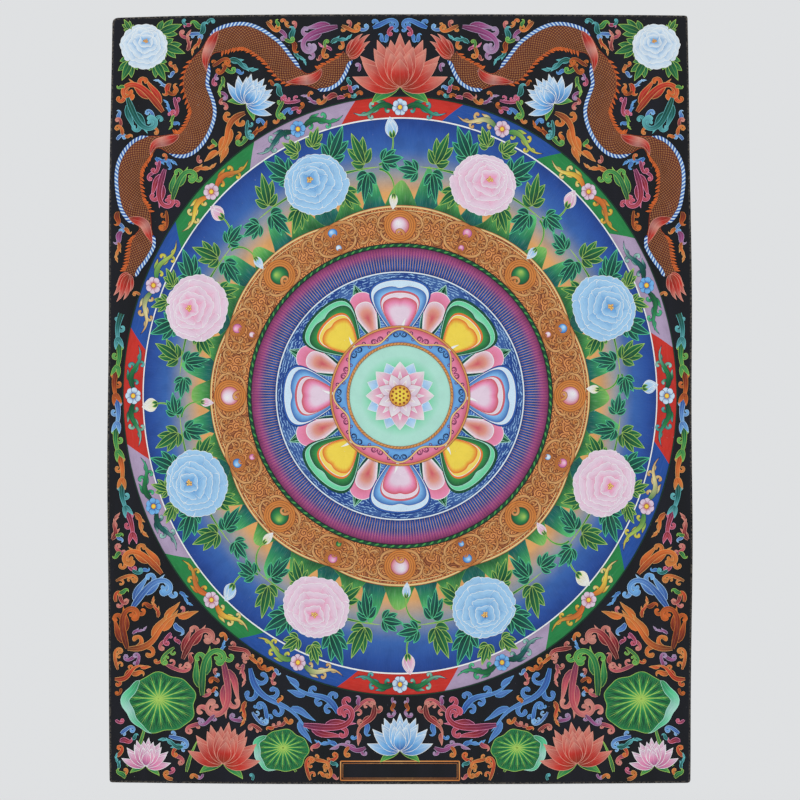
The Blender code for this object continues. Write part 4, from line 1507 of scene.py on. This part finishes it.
# the two curls of a stem: step, side, turn, length, half width
CHAIN_CURLS = ((3, -1, 14, 0.0072, 0.0014), (8, 1, 28, 0.0120, 0.0018))
CUP_LENGTH, CUP_HALF, CUP_TURN = 0.0130, 0.0023, 14
CHAIN_FAMILIES = (7, 3, 11, 4, 3, 2, 7, 5)
CHAIN_STEMS = len(CHAIN_FAMILIES)
chain = Brushwork()
way_down = np.linspace(0, CHAIN_STEMS, CHAIN_STEMS * CHAIN_STEPS + 1)
chain_z = CHAIN_TOP + (CHAIN_FOOT - CHAIN_TOP) * way_down / CHAIN_STEMS
border_x = BAND_OUTER * np.sqrt(1 - ((chain_z + CENTRE_DOWN) / (BAND_OUTER * (1 + UPRIGHT))) ** 2)
chain_x = (border_x + WIDEST_WIDTH / 2 - CHAIN_INSET) / 2 + CHAIN_SWING * np.sin(np.pi * way_down)


def chain_heading(at):
    """The chain's heading at one of its points, in degrees."""
    return math.degrees(math.atan2(chain_z[at + 1] - chain_z[at - 1], chain_x[at + 1] - chain_x[at - 1]))


for number, family in enumerate(CHAIN_FAMILIES):
    stops, rim = FAMILIES[family]
    first = number * CHAIN_STEPS
    part = slice(first, first + CHAIN_STEPS + 1)
    way = 1 if number % 2 else -1
    stroke(chain, (chain_x[part], chain_z[part]), CHAIN_HALF, UNDER + PAINT_LAYER * 0.5, stops, rim,
           lambda share, _: 1 - 0.45 * share)
    for after, side, turn, reach, wide in CHAIN_CURLS:
        at, side = first + after, side * way
        curl = wander((chain_x[at], chain_z[at]), chain_heading(at) + side * turn, reach, side * 56,
                      side * 240, samples=16, power=2)
        stroke(chain, curl, wide, UNDER, stops[1:], rim, knobbed)
    end = min(first + CHAIN_STEPS, len(chain_x) - 2)
    for side in (-1, 1):
        cup = wander((chain_x[end - 3], chain_z[end - 3]), chain_heading(end) + side * CUP_TURN, CUP_LENGTH,
                     side * 44, -side * 60, samples=12, power=2)
        stroke(chain, cup, CUP_HALF, UNDER + PAINT_LAYER * 1.2, stops[1:], rim, pointed)
claim(chain)

# The other scrolls: three tries in four start at a first root or on a scroll, and the fourth anywhere
roots = list(FIRST_ROOTS)
groups = {"top": Brushwork(), "middle": chain, "bottom": Brushwork()}
count = 0
for size, tries, kinds in ROUNDS:
    for attempt in range(tries):
        kind, family = kinds[chance.integers(len(kinds))], count * 5 % len(FAMILIES)
        side, grown = (-1, 1)[chance.integers(2)], size * chance.uniform(0.85, 1.15)
        if attempt % 4:
            x, z, facing = roots[chance.integers(len(roots))]
            heading = facing + chance.choice((-1, 1)) * chance.uniform(0, 80)
        else:
            column, row = chance.integers(CELLS_ACROSS - 1), chance.integers(CELLS_DOWN - 1)
            x, z, heading = column * CELL, -row * CELL, chance.uniform(0, 360)
            if taken[column, row]:
                continue
        work = grow(kind, (x, z), heading, grown, family, side, UNDER + PAINT_LAYER * 0.9 * (count % 4))
        if work is None:
            continue
        claim(work)
        line = work.grids[-1]
        line_x, line_z = (line[key][:, line[key].shape[1] // 2] for key in "xz")
        for place in (0.2, 0.4, 0.6, 0.8):
            at = int(place * (len(line_x) - 1))
            facing = math.degrees(math.atan2(line_z[at] - line_z[at - 1], line_x[at] - line_x[at - 1]))
            roots.append((line_x[at], line_z[at], facing))
        groups["top" if z > TOP_ENDS else "middle" if z > MIDDLE_ENDS else "bottom"].grids += work.grids
        count += 1
for name, work in groups.items():
    paints = gouache(name + "_scroll_paints", rim_width=0.00042, streaks=0.5, vein=0.25)
    work.dry(name + "_scrolls", paints, mirrored=True)

# ------------------------------------------------------------------ The studio
# Even daylight from all round, two large soft lamps before the cloth and one behind it, a pale floor
# below it, and a camera level with the cloth's middle.
EYE_DISTANCE, EYE_HEIGHT, LENS, SENSOR = 2.3, -0.371, 0.1076, 0.036
FLOOR_DROP, FLOOR_HALF, FLOOR_POINTS = 0.42, 3.0, 41
FLOOR_FADES_FROM, FLOOR_GONE_AT = 1.5, 3.0      # it melts into the daylight between these distances
FLOOR_PAINTS = (0.80, 0.81, 0.82, 1.0), (0.76, 0.77, 0.78, 1.0)
DAYLIGHT, DAYLIGHT_STRENGTH = (0.90, 0.915, 0.93, 1.0), 0.82
LAMP_SIZE = 1.4
LAMPS = (                         # name, place, watts
    ("lamp_left", (-1.7, -1.9, 0.7), 16.0),
    ("lamp_right", (1.9, -2.0, 0.3), 8.0),
    ("lamp_behind", (-1.2, 2.2, 0.8), 12.0),
)

scene = bpy.context.scene
scene.view_settings.view_transform = "Standard"
world = bpy.data.worlds.new("daylight")
world.use_nodes = True
world.node_tree.nodes["Background"].inputs["Color"].default_value = DAYLIGHT
world.node_tree.nodes["Background"].inputs["Strength"].default_value = DAYLIGHT_STRENGTH
scene.world = world


def soft_lamp(name, place, watts):
    """A square lamp that faces the cloth's middle."""
    lamp = bpy.data.lights.new(name, "AREA")
    lamp.size, lamp.energy = LAMP_SIZE, watts
    holder = bpy.data.objects.new(name, lamp)
    holder.location = place
    aim = np.array([0.0, 0.0, -DROP / 2]) - np.array(place)
    holder.rotation_euler = (math.atan2(math.hypot(aim[0], aim[1]), -aim[2]), 0.0,
                             math.atan2(-aim[0], aim[1]))
    scene.collection.objects.link(holder)


for lamp_row in LAMPS:
    soft_lamp(*lamp_row)

spread = np.linspace(-FLOOR_HALF, FLOOR_HALF, FLOOR_POINTS)
floor_x, floor_y = np.meshgrid(spread, spread)
floor_places = np.stack([floor_x, floor_y, 0 * floor_x - DROP - FLOOR_DROP], -1).reshape(-1, 3)
floor = mesh_piece("pale_floor", floor_places, grid_faces(FLOOR_POINTS, FLOOR_POINTS))
finish = Recipe("pale_floor_paint", roughness=0.9)
finish.link(finish.mix(*FLOOR_PAINTS, finish.noise(3, 2)), "Base Color")
from_middle = finish.vector("LENGTH", finish.places, out="Value")
finish.link(from_middle.step(FLOOR_FADES_FROM, FLOOR_GONE_AT, 1.0, 0.0), "Alpha")
floor.data.materials.append(finish.material)

eye = bpy.data.cameras.new("camera")
eye.lens, eye.sensor_width = LENS * 1000, SENSOR * 1000
camera = bpy.data.objects.new("camera", eye)
camera.location = (0.0, -EYE_DISTANCE, EYE_HEIGHT)
camera.rotation_euler = (math.pi / 2, 0.0, 0.0)
scene.collection.objects.link(camera)
scene.camera = camera
